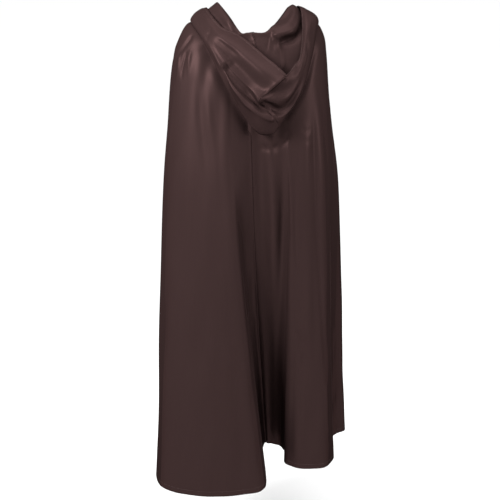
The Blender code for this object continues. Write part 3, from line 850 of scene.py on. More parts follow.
def ripples(flat: Array, seed: int, height: float, across: float, down: float) -> Array:
    """Uneven soft waves over flat cloth, as a sum of plane waves with seeded phases.

    Args:
        flat: Flat coordinates in metres, of shape (rows, columns, 2).
        seed: Seed of the phases, so that each panel has its own waves.
        height: Rough height of the waves.
        across: Typical length of a wave across the panel.
        down: Typical length of a wave down the panel.

    Returns:
        Heights of shape (rows, columns).
    """
    chance = np.random.default_rng(seed)
    wide = across * chance.uniform(*RIPPLE_SPREAD_ACROSS, RIPPLE_WAVES)
    size = np.stack([wide, down * chance.uniform(*RIPPLE_SPREAD_DOWN, RIPPLE_WAVES)])
    sign = np.where(chance.uniform(size=RIPPLE_WAVES) < 0.5, -1.0, 1.0)
    phase = chance.uniform(0, 2 * np.pi, RIPPLE_WAVES)
    turns = 2 * np.pi * (flat[..., 0, None] / size[0] + sign * flat[..., 1, None] / size[1])
    return height * np.sin(turns + phase).sum(axis=2) / np.sqrt(RIPPLE_WAVES)


def puckers(flat: Array, from_seam: Array, seed: int, height: float, reach: float) -> Array:
    """Small gathers beside a seam: short waves along it that fade with the distance.

    The height is a sum of sines of the length along the seam, times a bell curve of the
    distance from it.

    Args:
        flat: Flat coordinates in metres; the second one runs along the seam.
        from_seam: Distance of each point from the seam.
        seed: Seed of the phases.
        height: Rough height of the gathers.
        reach: Distance over which they fade.

    Returns:
        Heights of shape (rows, columns).
    """
    chance = np.random.default_rng(seed)
    along = flat[..., 1]
    total = np.zeros_like(along)
    for length in PUCKER_LENGTHS:
        total += np.sin(2 * np.pi * along / length + chance.uniform(0, 2 * np.pi))
    return height * total / 2 * np.exp(-((from_seam / reach) ** 2))


def places(count: int, near_start: Sequence[float] = (), near_end: Sequence[float] = ()) -> Array:
    """Even shares from 0 to 1 with closer ones at both ends.

    Args:
        count: How many even shares.
        near_start: Extra shares after 0.
        near_end: Extra shares before 1, counted back from it.

    Returns:
        Rising shares without doubles.
    """
    extra = np.concatenate([np.array(near_start, float), 1 - np.array(near_end, float)])
    return np.unique(np.concatenate([np.linspace(0, 1, count), extra]).round(6))


class Socket:
    """An output socket that can be used in arithmetic; each operator adds a Math node."""

    def __init__(self, maker: "Nodes", output: bpy.types.NodeSocket) -> None:
        """Keeps the node maker and the wrapped output."""
        self.maker = maker
        self.output = output

    def _math(self, operation: str, first: object, second: object) -> "Socket":
        """A Math node on two values."""
        return self.maker.make("ShaderNodeMath", {"operation": operation}, {0: first, 1: second})

    def __add__(self, other: object) -> "Socket":
        """self + other"""
        return self._math("ADD", self, other)

    def __radd__(self, other: object) -> "Socket":
        """other + self"""
        return self._math("ADD", other, self)

    def __sub__(self, other: object) -> "Socket":
        """self - other"""
        return self._math("SUBTRACT", self, other)

    def __rsub__(self, other: object) -> "Socket":
        """other - self"""
        return self._math("SUBTRACT", other, self)

    def __mul__(self, other: object) -> "Socket":
        """self * other"""
        return self._math("MULTIPLY", self, other)

    def __rmul__(self, other: object) -> "Socket":
        """other * self"""
        return self._math("MULTIPLY", other, self)


class Nodes:
    """Makes the nodes of one material."""

    def __init__(self, name: str) -> None:
        """Starts a material with its Principled shader.

        Args:
            name: The material's name.
        """
        self.material = bpy.data.materials.new(name)
        self.material.use_nodes = True
        self.tree = self.material.node_tree
        self.shader = self.tree.nodes["Principled BSDF"]

    def set(self, node: bpy.types.Node, values: dict) -> None:
        """Sets or links inputs of a node.

        Args:
            node: The node.
            values: Numbers, colours or sockets, by the input's name or number.
        """
        for key, value in values.items():
            if isinstance(value, Socket):
                self.tree.links.new(value.output, node.inputs[key])
            else:
                node.inputs[key].default_value = value

    def make(self, kind: str, settings: dict, values: dict, output: object = 0) -> Socket:
        """Adds a node.

        Args:
            kind: The node's type.
            settings: Its own settings, set first.
            values: Values or links of its inputs.
            output: Name or number of the output that is wanted.

        Returns:
            That output.
        """
        node = self.tree.nodes.new(kind)
        for key, value in settings.items():
            setattr(node, key, value)
        self.set(node, values)
        return Socket(self, node.outputs[output])

    def noise(self, vector: Socket, stretch: Scale, detail: float) -> Socket:
        """Noise on a stretched vector, from 0 to 1."""
        moved = self.make("ShaderNodeMapping", {}, {"Vector": vector, "Scale": stretch})
        return self.make("ShaderNodeTexNoise", {}, {"Vector": moved, "Scale": 1.0, "Detail": detail})

    def blend(self, share: Socket, low: Colour, high: Colour) -> Socket:
        """A colour between two others, low where the share is 0 and high where it is 1."""
        values = {0: share, 6: (*low, 1.0), 7: (*high, 1.0)}
        return self.make("ShaderNodeMix", {"data_type": "RGBA"}, values, 2)

    def bump(self, height: Socket, depth: float, strength: float) -> Socket:
        """A bumped normal; height runs from 0 to 1 and depth is in metres."""
        values = {"Height": height, "Distance": depth, "Strength": strength}
        return self.make("ShaderNodeBump", {}, values)


@dataclass(frozen=True)
class Satin:
    """Dark satin: long warp threads with a soft broad shine, uneven in tone and gloss."""

    name: str = "satin_cloth"
    deep: Colour = (0.0350, 0.0197, 0.0192)
    bright: Colour = (0.0460, 0.0267, 0.0260)
    roughness: float = 0.42
    shine: float = 0.0
    edge_tint: Colour = (0.05, 0.03, 0.028)
    metallic: float = 0.28
    thread_depth: float = 0.00006
    warp_scale: Scale = (1900.0, 260.0, 1.0)
    weft_scale: Scale = (240.0, 1500.0, 1.0)
    slub_scale: Scale = (240.0, 9.0, 1.0)
    cloud_scale: Scale = (7.0, 3.0, 1.0)

    def material(self) -> bpy.types.Material:
        """Builds the material on the cloth's own flat coordinates.

        Returns:
            The material.
        """
        nodes = Nodes(self.name)
        flat = nodes.make("ShaderNodeUVMap", {"uv_map": UV_NAME}, {})
        warp = nodes.noise(flat, self.warp_scale, 2.0)
        weft = nodes.noise(flat, self.weft_scale, 1.0)
        slub = nodes.noise(flat, self.slub_scale, 3.0)
        cloud = nodes.noise(flat, self.cloud_scale, 3.0)
        colour = nodes.blend(0.55 * cloud + 0.25 * slub + 0.20 * warp, self.deep, self.bright)
        bump = nodes.bump(0.6 * warp + 0.25 * weft + 0.5 * slub, self.thread_depth, 0.5)
        rough = self.roughness - 0.04 + 0.08 * slub + 0.06 * (cloud - 0.5)
        nodes.set(
            nodes.shader,
            {
                "Base Color": colour,
                "Roughness": rough,
                "Normal": bump,
                "Specular IOR Level": self.shine,
                "Specular Tint": (*self.edge_tint, 1.0),
                "Metallic": self.metallic,
            },
        )
        return nodes.material


@dataclass(frozen=True)
class Thread:
    """Twisted sewing thread, a little lighter than the cloth."""

    name: str = "sewing_thread"
    dark: Colour = (0.055, 0.034, 0.032)
    light: Colour = (0.100, 0.066, 0.062)
    roughness: float = 0.5
    twist_scale: Scale = (1400.0, 1400.0, 1400.0)
    twist_depth: float = 0.00005

    def material(self) -> bpy.types.Material:
        """Builds the material on object coordinates.

        Returns:
            The material.
        """
        nodes = Nodes(self.name)
        place = nodes.make("ShaderNodeTexCoord", {}, {}, "Object")
        twist = nodes.noise(place, self.twist_scale, 1.0)
        colour = nodes.blend(twist, self.dark, self.light)
        bump = nodes.bump(twist, self.twist_depth, 0.6)
        values = {"Base Color": colour, "Roughness": self.roughness, "Normal": bump}
        nodes.set(nodes.shader, values)
        return nodes.material


@dataclass(frozen=True)
class PaleFloor:
    """Plain matt studio floor."""

    name: str = "studio_floor"
    colour: Colour = (0.97, 0.97, 0.97)
    roughness: float = 0.9

    def material(self) -> bpy.types.Material:
        """Builds the plain material.

        Returns:
            The material.
        """
        nodes = Nodes(self.name)
        nodes.set(nodes.shader, {"Base Color": (*self.colour, 1.0), "Roughness": self.roughness})
        return nodes.material


def mesh_object(
    name: str, vertices: Array, faces: Array, material: bpy.types.Material
) -> bpy.types.Object:
    """Makes an object of vertices and faces, smooth and with one material.

    Args:
        name: Name of the object and its mesh.
        vertices: Points of shape (vertices, 3).
        faces: Numbers of each face's corners.
        material: The material of all faces.

    Returns:
        The object.
    """
    mesh = bpy.data.meshes.new(name)
    mesh.from_pydata(vertices.tolist(), [], faces.tolist())
    mesh.polygons.foreach_set("use_smooth", np.ones(len(mesh.polygons), bool))
    mesh.materials.append(material)
    mesh.update()
    made = bpy.data.objects.new(name, mesh)
    bpy.context.scene.collection.objects.link(made)
    return made


def cloth_object(
    name: str, cloth: Cloth, material: bpy.types.Material, thickness: float
) -> bpy.types.Object:
    """Makes the shell of a panel: its grid with flat coordinates and a thin wall inside.

    Args:
        name: Name of the object.
        cloth: The panel with its folded edges.
        material: The cloth's material.
        thickness: Thickness of the wall.

    Returns:
        The object.
    """
    rows, columns = cloth.points.shape[:2]
    index = np.arange(rows * columns).reshape(rows, columns)
    corners = [index[:-1, :-1], index[:-1, 1:], index[1:, 1:], index[1:, :-1]]
    faces = np.stack(corners if cloth.way > 0 else corners[::-1], axis=-1).reshape(-1, 4)
    made = mesh_object(name, cloth.points.reshape(-1, 3), faces, material)
    layer = made.data.uv_layers.new(name=UV_NAME)
    layer.data.foreach_set("uv", cloth.flat.reshape(-1, 2)[faces.reshape(-1)].ravel())
    wall = made.modifiers.new("Wall", "SOLIDIFY")
    wall.thickness = thickness
    wall.offset = -1
    return made


@dataclass(frozen=True)
class StitchRow:
    """A row of lockstitches along an edge."""

    inset: float
    pitch: float = 0.0034
    length: float = 0.0026
    radius: float = 0.00022
    sink: float = 0.00016
    bulge: float = 0.6
    blunt: float = 0.02
    sides: int = 5
    edge_rows: int = 24

    def line(self, cloth: Cloth, edge: str) -> tuple[Array, Array]:
        """Points and normals on the cloth at the row's distance from an edge.

        Args:
            cloth: A panel without its folded edges.
            edge: "bottom", "first" or "last".

        Returns:
            Points and normals along the edge.
        """
        points, normals = cloth.points, cloth.normals()
        if edge in ("first", "last"):
            points, normals = points.swapaxes(0, 1), normals.swapaxes(0, 1)
        if edge != "first":
            points, normals = points[::-1], normals[::-1]
        near = np.concatenate([points, normals], axis=2)[: self.edge_rows].swapaxes(0, 1)
        knots = lengths_along(near[..., :3], 1)
        at = np.full((len(near), 1), self.inset)
        read = smooth_each(knots, near, at)[:, 0]
        return read[:, :3], unit(read[:, 3:])

    def mesh(self, line: Array, normals: Array) -> tuple[Array, Array]:
        """All stitches of a row as one mesh.

        A stitch is a tube along the line whose radius falls nearly as 1 - t⁴ and whose
        middle lies on the cloth while its ends sink into it, t running from -1 to 1.

        Args:
            line: Points of the row.
            normals: Normals of the cloth there.

        Returns:
            Vertices and faces.
        """
        along = np.concatenate([[0], np.cumsum(np.linalg.norm(np.diff(line, axis=0), axis=1))])
        centres = np.arange(self.pitch, along[-1] - self.pitch / 2, self.pitch)
        read = smooth(along, np.concatenate([line, normals], axis=1), centres)
        ahead = smooth(along, line, centres + self.length / 2)
        behind = smooth(along, line, centres - self.length / 2)
        out, way = unit(read[:, 3:]), unit(ahead - behind)
        beside = unit(np.cross(way, out))
        out = np.cross(beside, way)
        t = np.array([-1.0, -0.7, 0.0, 0.7, 1.0])
        angle = np.linspace(0, 2 * np.pi, self.sides, endpoint=False)
        girth = self.radius * (1 + self.blunt - t**4)
        height = self.radius * self.bulge * (1 - t**2) - self.sink * t**2
        x = np.broadcast_to((t * self.length / 2)[:, None], (len(t), self.sides))
        y = girth[:, None] * np.cos(angle)
        z = height[:, None] + girth[:, None] * np.sin(angle)
        local = np.stack([x, y, z], axis=2).reshape(-1, 3)
        axes = np.stack([way, beside, out], axis=1)
        vertices = read[:, None, :3] + np.einsum("vk,skj->svj", local, axes)
        ring = np.arange(self.sides)
        beyond = (ring + 1) % self.sides
        near = np.arange(len(t) - 1)[:, None] * self.sides
        far = near + self.sides
        quads = np.stack([near + ring, far + ring, far + beyond, near + beyond], axis=2)
        start = np.arange(len(centres))[:, None, None] * len(local)
        return vertices.reshape(-1, 3), (quads.reshape(-1, 4)[None] + start).reshape(-1, 4)


class Cut(NamedTuple):
    """The flat cut of a panel: width and length of its cloth and its real area."""

    width: float
    length: float
    area: float


@dataclass
class Panel:
    """A sewn panel: its form, relief, edges and stitches, dressed and set on the frame."""

    node: str
    cut: Cut
    seed: int
    first: EdgeFinish
    last: EdgeFinish
    bottom: EdgeFinish
    creases: tuple[Crease, ...] = ()
    allowance: float = 0.009
    hem: float = 0.016
    seam_gap: float = 0.0005
    seam_dip: float = 0.0009
    seam_reach: float = 0.0035
    fold_radius: float = 0.0009
    thickness: float = 0.0006
    ripple: float = 0.0006
    ripple_across: float = 0.085
    ripple_down: float = 0.55
    pucker: float = 0.00022
    pucker_reach: float = 0.012
    hem_pucker: float = 0.00025
    hem_pucker_reach: float = 0.02
    hem_dip: float = 0.00025
    hem_dip_reach: float = 0.0014
    hem_seed_step: int = 7
    stitch_inset: float = 0.0015

    def surface(self) -> Cloth:
        """The plain surface of the panel; each kind of panel has its own."""
        raise NotImplementedError

    def draw_apart(self, cloth: Cloth) -> None:
        """Draws both side edges back by half the seam's gap.

        Args:
            cloth: The panel's cloth, changed in place.
        """
        points = cloth.points
        room = self.seam_gap / 2
        points[:, 0] += unit(points[:, 1] - points[:, 0]) * room
        points[:, -1] += unit(points[:, -2] - points[:, -1]) * room

    def dress_surface(self, cloth: Cloth) -> None:
        """Raises ripples, creases, the dips of the seams and hem and their puckers.

        Args:
            cloth: The panel's cloth, changed in place.
        """
        rows, columns = cloth.points.shape[:2]
        height = ripples(cloth.flat, self.seed, self.ripple, self.ripple_across, self.ripple_down)
        for crease in self.creases:
            height += cloth.crease(crease)
        across = cloth.flat[..., 0]
        sides = ((across, self.first), (across[:, -1:] - across, self.last))
        for from_edge, finish in sides:
            if finish is EdgeFinish.SEWN:
                height -= self.seam_dip * np.exp(-((from_edge / self.seam_reach) ** 2))
            height += puckers(cloth.flat, from_edge, self.seed, self.pucker, self.pucker_reach)
        from_hem = cloth.flat[-1:, :, 1] - cloth.flat[..., 1]
        height -= self.hem_dip * np.exp(-(((from_hem - self.hem) / self.hem_dip_reach) ** 2))
        seed, turned = self.seed + self.hem_seed_step, cloth.flat[..., ::-1]
        height += puckers(turned, from_hem, seed, self.hem_pucker, self.hem_pucker_reach)
        cloth.raise_by(height)

    def stitched_edges(self) -> list[str]:
        """The edges that have a row of stitches."""
        edges = {"first": self.first, "last": self.last, "bottom": self.bottom}
        return [edge for edge, finish in edges.items() if finish is EdgeFinish.HEMMED]

    def build(self, satin: bpy.types.Material, thread: bpy.types.Material) -> bpy.types.Object:
        """Builds the panel with its stitches and sets both on the frame.

        Args:
            satin: Material of the cloth.
            thread: Material of the stitches.

        Returns:
            The panel's object.
        """
        cloth = self.surface()
        self.draw_apart(cloth)
        self.dress_surface(cloth)
        row = StitchRow(inset=self.hem - self.stitch_inset)
        sewn = [row.mesh(*row.line(cloth, edge)) for edge in self.stitched_edges()]
        for edge, finish in (("first", self.first), ("last", self.last), ("bottom", self.bottom)):
            width = self.hem if finish is EdgeFinish.HEMMED else self.allowance
            cloth.with_edge(finish, edge, width, self.fold_radius)
        piece = cloth_object(self.node + "_cloth", cloth, satin, self.thickness)
        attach(piece, BODY)
        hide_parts(self.node)
        if sewn:
            starts = np.cumsum([0] + [len(vertices) for vertices, _ in sewn[:-1]])
            vertices = np.concatenate([vertices for vertices, _ in sewn])
            faces = np.concatenate([faces + start for (_, faces), start in zip(sewn, starts)])
            stitches = mesh_object(self.node + "_stitches", vertices, faces, thread)
            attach(stitches, BODY)
        LOG.info("%s: %d faces", piece.name, len(piece.data.polygons))
        return piece


@dataclass
class BodyPanel(Panel):
    """A panel of the cloak's body between two turns."""

    start: float = 0.0
    end: float = 90.0
    left_front: bool = False
    rows: int = 222
    columns: int = 152
    levels_read: int = 420
    turns_read: int = 520
    form: BodyForm = BodyForm()

    def surface(self) -> Cloth:
        """The panel's grid, rows from the neck down, evenly spread both ways.

        Returns:
            The plain cloth, its normals on the side that shows.
        """
        level = np.linspace(0, len(self.form.rings) - 1, self.levels_read)
        turn = np.linspace(self.start, self.end, self.turns_read)
        grid = self.form.points(turn, level, self.left_front)
        grid = spread_evenly(grid, 1, places(self.columns, BESIDE_SEAM, BESIDE_SEAM))
        grid = spread_evenly(grid, 0, places(self.rows, BELOW_NECK, ABOVE_HEM))
        return Cloth(grid, -1)


@dataclass
class HoodPanel(Panel):
    """One of the hood's two panels."""

    form: HoodForm | None = None
    rows: int = 200
    columns: int = 186
    lines_read: int = 330
    places_read: int = 300

    def surface(self) -> Cloth:
        """The panel's grid, rows from the neck to the face edge, columns to the centre seam.

        Returns:
            The plain cloth, its normals on the side that shows.
        """
        line = np.linspace(0, len(self.form.lines), self.lines_read)
        place = np.linspace(0, 1, self.places_read)
        grid = self.form.points(line, place)
        grid = spread_evenly(grid, 1, places(self.columns, (), BESIDE_SEAM))
        grid = spread_evenly(grid, 0, places(self.rows, (), INSIDE_FACE_EDGE))
        return Cloth(grid, self.form.side.value)


# Creases of the panels: name, path, width, height and how they fade
BACK_LEFT_CREASES: tuple[Crease, ...] = (
    Crease("shoulder_trough",
           ((0.514, 0.116), (0.537, 0.147), (0.559, 0.182), (0.582, 0.225), (0.605, 0.279), (0.627, 0.357)),
           0.014, -0.003, fade_in=0.45, fade_out=0.4),
    Crease("shoulder_hollow",
           ((0.469, 0.058), (0.571, 0.085), (0.605, 0.128), (0.621, 0.182), (0.650, 0.248)),
           0.019, -0.0055, fade_in=0.12, fade_out=0.8),
    Crease("lobe_ridge",
           ((0.525, 0.074), (0.605, 0.109), (0.627, 0.163), (0.667, 0.225), (0.689, 0.302), (0.701, 0.372)),
           0.011, 0.0016, fade_in=0.5, fade_out=0.5),
    Crease("shoulder_fold",
           ((0.322, 0.070), (0.311, 0.085), (0.288, 0.101), (0.260, 0.116), (0.209, 0.136)),
           0.0075, -0.0046, fade_in=0.2, fade_out=0.3),
    Crease("shoulder_swell",
           ((0.379, 0.089), (0.390, 0.105), (0.407, 0.120), (0.424, 0.143)),
           0.0065, 0.003, fade_in=0.35, fade_out=0.5),
    Crease("shoulder_dip",
           ((0.339, 0.101), (0.345, 0.116), (0.345, 0.140), (0.362, 0.159)),
           0.0055, -0.003, fade_in=0.2, fade_out=0.5),
    Crease("arm_wrinkle",
           ((0.271, 0.109), (0.277, 0.124), (0.294, 0.143), (0.282, 0.178)),
           0.006, 0.0032, fade_in=0.3, fade_out=0.5),
    Crease("under_hood",
           ((0.520, 0.058), (0.644, 0.078), (0.757, 0.105), (0.853, 0.143), (0.949, 0.178), (1.000, 0.205)),
           0.017, -0.0072, fade_in=0.2, fade_out=0.12),
    Crease("lip_wrinkle", ((0.627, 0.647), (0.661, 0.667), (0.689, 0.698)), 0.007, -0.0014),
    Crease("lip_wrinkle_low", ((0.593, 0.690), (0.627, 0.698), (0.650, 0.721)), 0.006, -0.001),
    Crease("seam_bead",
           ((0.990, 0.190), (0.990, 0.400), (0.990, 0.620), (0.990, 0.850)),
           0.0035, 0.0016, fade_in=0.02, fade_out=0.3),
    Crease("lobe_hollow",
           ((0.435, 0.562), (0.446, 0.651), (0.429, 0.744), (0.412, 0.849)),
           0.03, -0.003, fade_in=0.5, fade_out=0.5),
    Crease("side_swell",
           ((0.311, 0.442), (0.299, 0.539), (0.282, 0.640), (0.260, 0.764)),
           0.022, 0.003, fade_in=0.5, fade_out=0.5),
    Crease("side_trough",
           ((0.100, 0.200), (0.090, 0.420), (0.100, 0.660)),
           0.02, -0.005, fade_in=0.3, fade_out=0.4),
    Crease("side_ridge",
           ((0.160, 0.340), (0.150, 0.560), (0.160, 0.860)),
           0.022, 0.004, fade_in=0.4, fade_out=0.3),
    Crease("side_wrinkle", ((0.060, 0.120), (0.120, 0.150), (0.170, 0.200)), 0.01, -0.003),
)

BACK_RIGHT_CREASES: tuple[Crease, ...] = (
    Crease("second_ridge",
           ((0.497, 0.205), (0.465, 0.283), (0.459, 0.407), (0.427, 0.554), (0.433, 0.713), (0.439, 0.853)),
           0.017, 0.0055, fade_in=0.15, fade_out=0.4),
    Crease("tip_ridge",
           ((0.331, 0.225), (0.338, 0.291), (0.344, 0.368), (0.338, 0.438), (0.338, 0.508)),
           0.006, 0.0028, fade_in=0.1, fade_out=0.4),
    Crease("tip_crease",
           ((0.369, 0.295), (0.376, 0.345), (0.363, 0.422), (0.357, 0.496), (0.357, 0.570)),
           0.005, -0.0022, Relief.SHARP, fade_in=0.2, fade_out=0.4),
    Crease("right_crease",
           ((0.580, 0.178), (0.548, 0.275), (0.529, 0.415), (0.522, 0.562), (0.535, 0.698), (0.548, 0.779)),
           0.009, -0.0035, fade_in=0.2, fade_out=0.3),
    Crease("right_bead",
           ((0.535, 0.767), (0.541, 0.814), (0.541, 0.860), (0.554, 0.911)),
           0.007, 0.0025, fade_in=0.2, fade_out=0.2),
    Crease("thigh_wrinkle",
           ((0.338, 0.632), (0.357, 0.655), (0.350, 0.674), (0.369, 0.702)),
           0.005, -0.0026, Relief.SHARP, fade_in=0.2, fade_out=0.3),
    Crease("thigh_wrinkle_low",
           ((0.389, 0.690), (0.382, 0.709), (0.395, 0.729)),
           0.005, -0.002, Relief.SHARP),
    Crease("thigh_wrinkle_high", ((0.369, 0.620), (0.389, 0.643), (0.382, 0.667)), 0.006, 0.0015),
    Crease("shoulder_wrinkle", ((0.439, 0.217), (0.484, 0.229), (0.535, 0.229)), 0.006, -0.0014),
    Crease("shoulder_wrinkle_low", ((0.433, 0.236), (0.484, 0.248), (0.548, 0.252)), 0.006, -0.001),
    Crease("under_hood",
           ((0.293, 0.186), (0.369, 0.171), (0.459, 0.151), (0.541, 0.128), (0.605, 0.105), (0.701, 0.089)),
           0.01, -0.0045, fade_in=0.1, fade_out=0.2),
    Crease("under_tip",
           ((0.070, 0.225), (0.172, 0.233), (0.280, 0.233), (0.369, 0.213)),
           0.009, -0.0035, fade_in=0.2, fade_out=0.2),
    Crease("hip_hollow",
           ((0.382, 0.484), (0.382, 0.574), (0.389, 0.640)),
           0.014, -0.0018, fade_in=0.5, fade_out=0.5),
    Crease("side_trough",
           ((0.860, 0.140), (0.880, 0.340), (0.870, 0.600)),
           0.018, -0.004, fade_in=0.3, fade_out=0.4),
    Crease("side_ridge", ((0.930, 0.260), (0.940, 0.500), (0.930, 0.820)), 0.018, 0.004),
)

FRONT_RIGHT_CREASES: tuple[Crease, ...] = (
    Crease("arm_trough",
           ((0.160, 0.120), (0.180, 0.340), (0.170, 0.620)),
           0.02, -0.006, fade_in=0.2, fade_out=0.4),
    Crease("chest_ridge", ((0.360, 0.140), (0.380, 0.400), (0.360, 0.780)), 0.018, 0.005),
    Crease("chest_trough",
           ((0.550, 0.160), (0.570, 0.360), (0.550, 0.550)),
           0.014, -0.004, fade_in=0.2, fade_out=0.5),
    Crease("long_ridge",
           ((0.700, 0.300), (0.710, 0.600), (0.690, 0.930)),
           0.018, 0.005, fade_in=0.4, fade_out=0.2),
    Crease("edge_trough",
           ((0.860, 0.100), (0.880, 0.240), (0.870, 0.400)),
           0.01, -0.003, fade_in=0.2, fade_out=0.5),
    Crease("throat_pull",
           ((0.930, 0.020), (0.780, 0.060), (0.620, 0.120)),
           0.01, -0.003, fade_in=0.1, fade_out=0.5),
    Crease("shoulder_pull",
           ((0.880, 0.040), (0.640, 0.080), (0.400, 0.100)),
           0.012, 0.0025, fade_in=0.2, fade_out=0.5),
    Crease("knee_wrinkle",
           ((0.460, 0.620), (0.490, 0.650), (0.500, 0.700)),
           0.007, -0.002, Relief.SHARP),
)

FRONT_LEFT_CREASES: tuple[Crease, ...] = (
    Crease("edge_trough",
           ((0.120, 0.110), (0.110, 0.270), (0.130, 0.460)),
           0.011, -0.003, fade_in=0.2, fade_out=0.5),
    Crease("long_ridge",
           ((0.280, 0.260), (0.290, 0.580), (0.310, 0.940)),
           0.018, 0.005, fade_in=0.4, fade_out=0.2),
    Crease("chest_trough",
           ((0.440, 0.140), (0.420, 0.380), (0.440, 0.600)),
           0.015, -0.005, fade_in=0.2, fade_out=0.4),
    Crease("chest_ridge",
           ((0.600, 0.120), (0.620, 0.420), (0.600, 0.740)),
           0.018, 0.005, fade_in=0.3, fade_out=0.4),
    Crease("arm_trough",
           ((0.800, 0.120), (0.820, 0.360), (0.800, 0.680)),
           0.02, -0.006, fade_in=0.2, fade_out=0.4),
    Crease("throat_pull",
           ((0.070, 0.020), (0.200, 0.050), (0.360, 0.110)),
           0.01, -0.003, fade_in=0.1, fade_out=0.5),
    Crease("shoulder_pull",
           ((0.120, 0.040), (0.340, 0.070), (0.580, 0.100)),
           0.012, 0.0025, fade_in=0.2, fade_out=0.5),
    Crease("knee_wrinkle",
           ((0.520, 0.680), (0.540, 0.720), (0.530, 0.770)),
           0.007, -0.002, Relief.SHARP),
)

HOOD_LEFT_CREASES: tuple[Crease, ...] = (
    Crease("first_trough",
           ((0.714, 0.729), (0.754, 0.719), (0.813, 0.733), (0.872, 0.756), (0.916, 0.760), (0.966, 0.769)),
           0.021, -0.0125, fade_in=0.14, fade_out=0.42),
    Crease("narrow_trough",
           ((0.823, 0.706), (0.867, 0.715), (0.911, 0.724), (0.951, 0.719), (0.970, 0.692)),
           0.0055, -0.0035),
    Crease("bright_ridge",
           ((0.690, 0.652), (0.709, 0.629), (0.754, 0.624), (0.803, 0.633), (0.842, 0.629),
            (0.892, 0.647), (0.926, 0.656), (0.956, 0.643), (0.975, 0.624)),
           0.0065, 0.005, Relief.SHARP, fade_in=0.3, fade_out=0.1),
    Crease("band_rest",
           ((0.606, 0.828), (0.660, 0.819), (0.719, 0.837), (0.783, 0.855)),
           0.008, -0.0034, fade_in=0.3, fade_out=0.4),
    Crease("contour_bead",
           ((0.557, 0.606), (0.660, 0.552), (0.759, 0.529), (0.857, 0.520), (0.911, 0.534)),
           0.004, 0.0014, fade_in=0.1, fade_out=0.1),
    Crease("seam_overhang",
           ((0.990, 0.973), (0.985, 0.891), (0.980, 0.828), (1.000, 0.783)),
           0.006, 0.0014, fade_in=0.1, fade_out=0.1),
    Crease("seam_hollow",
           ((0.990, 0.733), (1.000, 0.688), (0.995, 0.647)),
           0.005, -0.0012, fade_in=0.2, fade_out=0.2),
    Crease("shoulder_wrinkle", ((0.532, 0.878), (0.576, 0.824), (0.527, 0.665)), 0.006, -0.0012),
    Crease("nape_wrinkle", ((0.916, 0.054), (0.946, 0.077), (1.000, 0.086)), 0.004, 0.0014),
    Crease("nape_wrinkle_low", ((0.956, 0.009), (0.980, 0.063), (1.000, 0.086)), 0.004, -0.0012),
)

HOOD_RIGHT_CREASES: tuple[Crease, ...] = (
    Crease("k_crease",
           ((0.980, 0.760), (0.941, 0.719), (0.926, 0.665), (0.906, 0.638)),
           0.009, -0.005, fade_in=0.1, fade_out=0.5),
    Crease("k_pinch",
           ((0.975, 0.769), (0.951, 0.760), (0.936, 0.742)),
           0.0035, -0.0022, fade_in=0.05, fade_out=0.6),
    Crease("seam_shadow",
           ((0.936, 0.914), (0.956, 0.864), (0.961, 0.805), (0.970, 0.774)),
           0.006, -0.0035, fade_in=0.1, fade_out=0.1),
    Crease("seam_bead",
           ((0.975, 0.738), (0.961, 0.688), (0.975, 0.643), (0.995, 0.602)),
           0.004, 0.0018, fade_in=0.2, fade_out=0.1),
    Crease("low_light",
           ((0.906, 0.751), (0.872, 0.738), (0.842, 0.747)),
           0.012, 0.0022, fade_in=0.3, fade_out=0.5),
    Crease("shelf_edge",
           ((0.867, 0.072), (0.818, 0.113), (0.764, 0.140), (0.700, 0.163), (0.635, 0.163), (0.552, 0.140)),
           0.009, -0.0038, Relief.SHARP, fade_in=0.15, fade_out=0.3),
    Crease("shelf_shadow",
           ((0.877, 0.104), (0.813, 0.167), (0.714, 0.249), (0.670, 0.258), (0.631, 0.231)),
           0.011, 0.006, fade_in=0.15, fade_out=0.3),
    Crease("gather_a",
           ((0.882, 0.072), (0.906, 0.113), (0.936, 0.154)),
           0.0035, 0.0012, fade_in=0.1, fade_out=0.4),
    Crease("gather_b",
           ((0.872, 0.081), (0.897, 0.122), (0.916, 0.172)),
           0.0032, -0.001, fade_in=0.1, fade_out=0.4),
    Crease("gather_c",
           ((0.867, 0.086), (0.877, 0.131), (0.897, 0.181)),
           0.0035, 0.0012, fade_in=0.1, fade_out=0.4),
    Crease("gather_d",
           ((0.862, 0.095), (0.862, 0.145), (0.862, 0.195)),
           0.0032, -0.001, fade_in=0.1, fade_out=0.4),
)


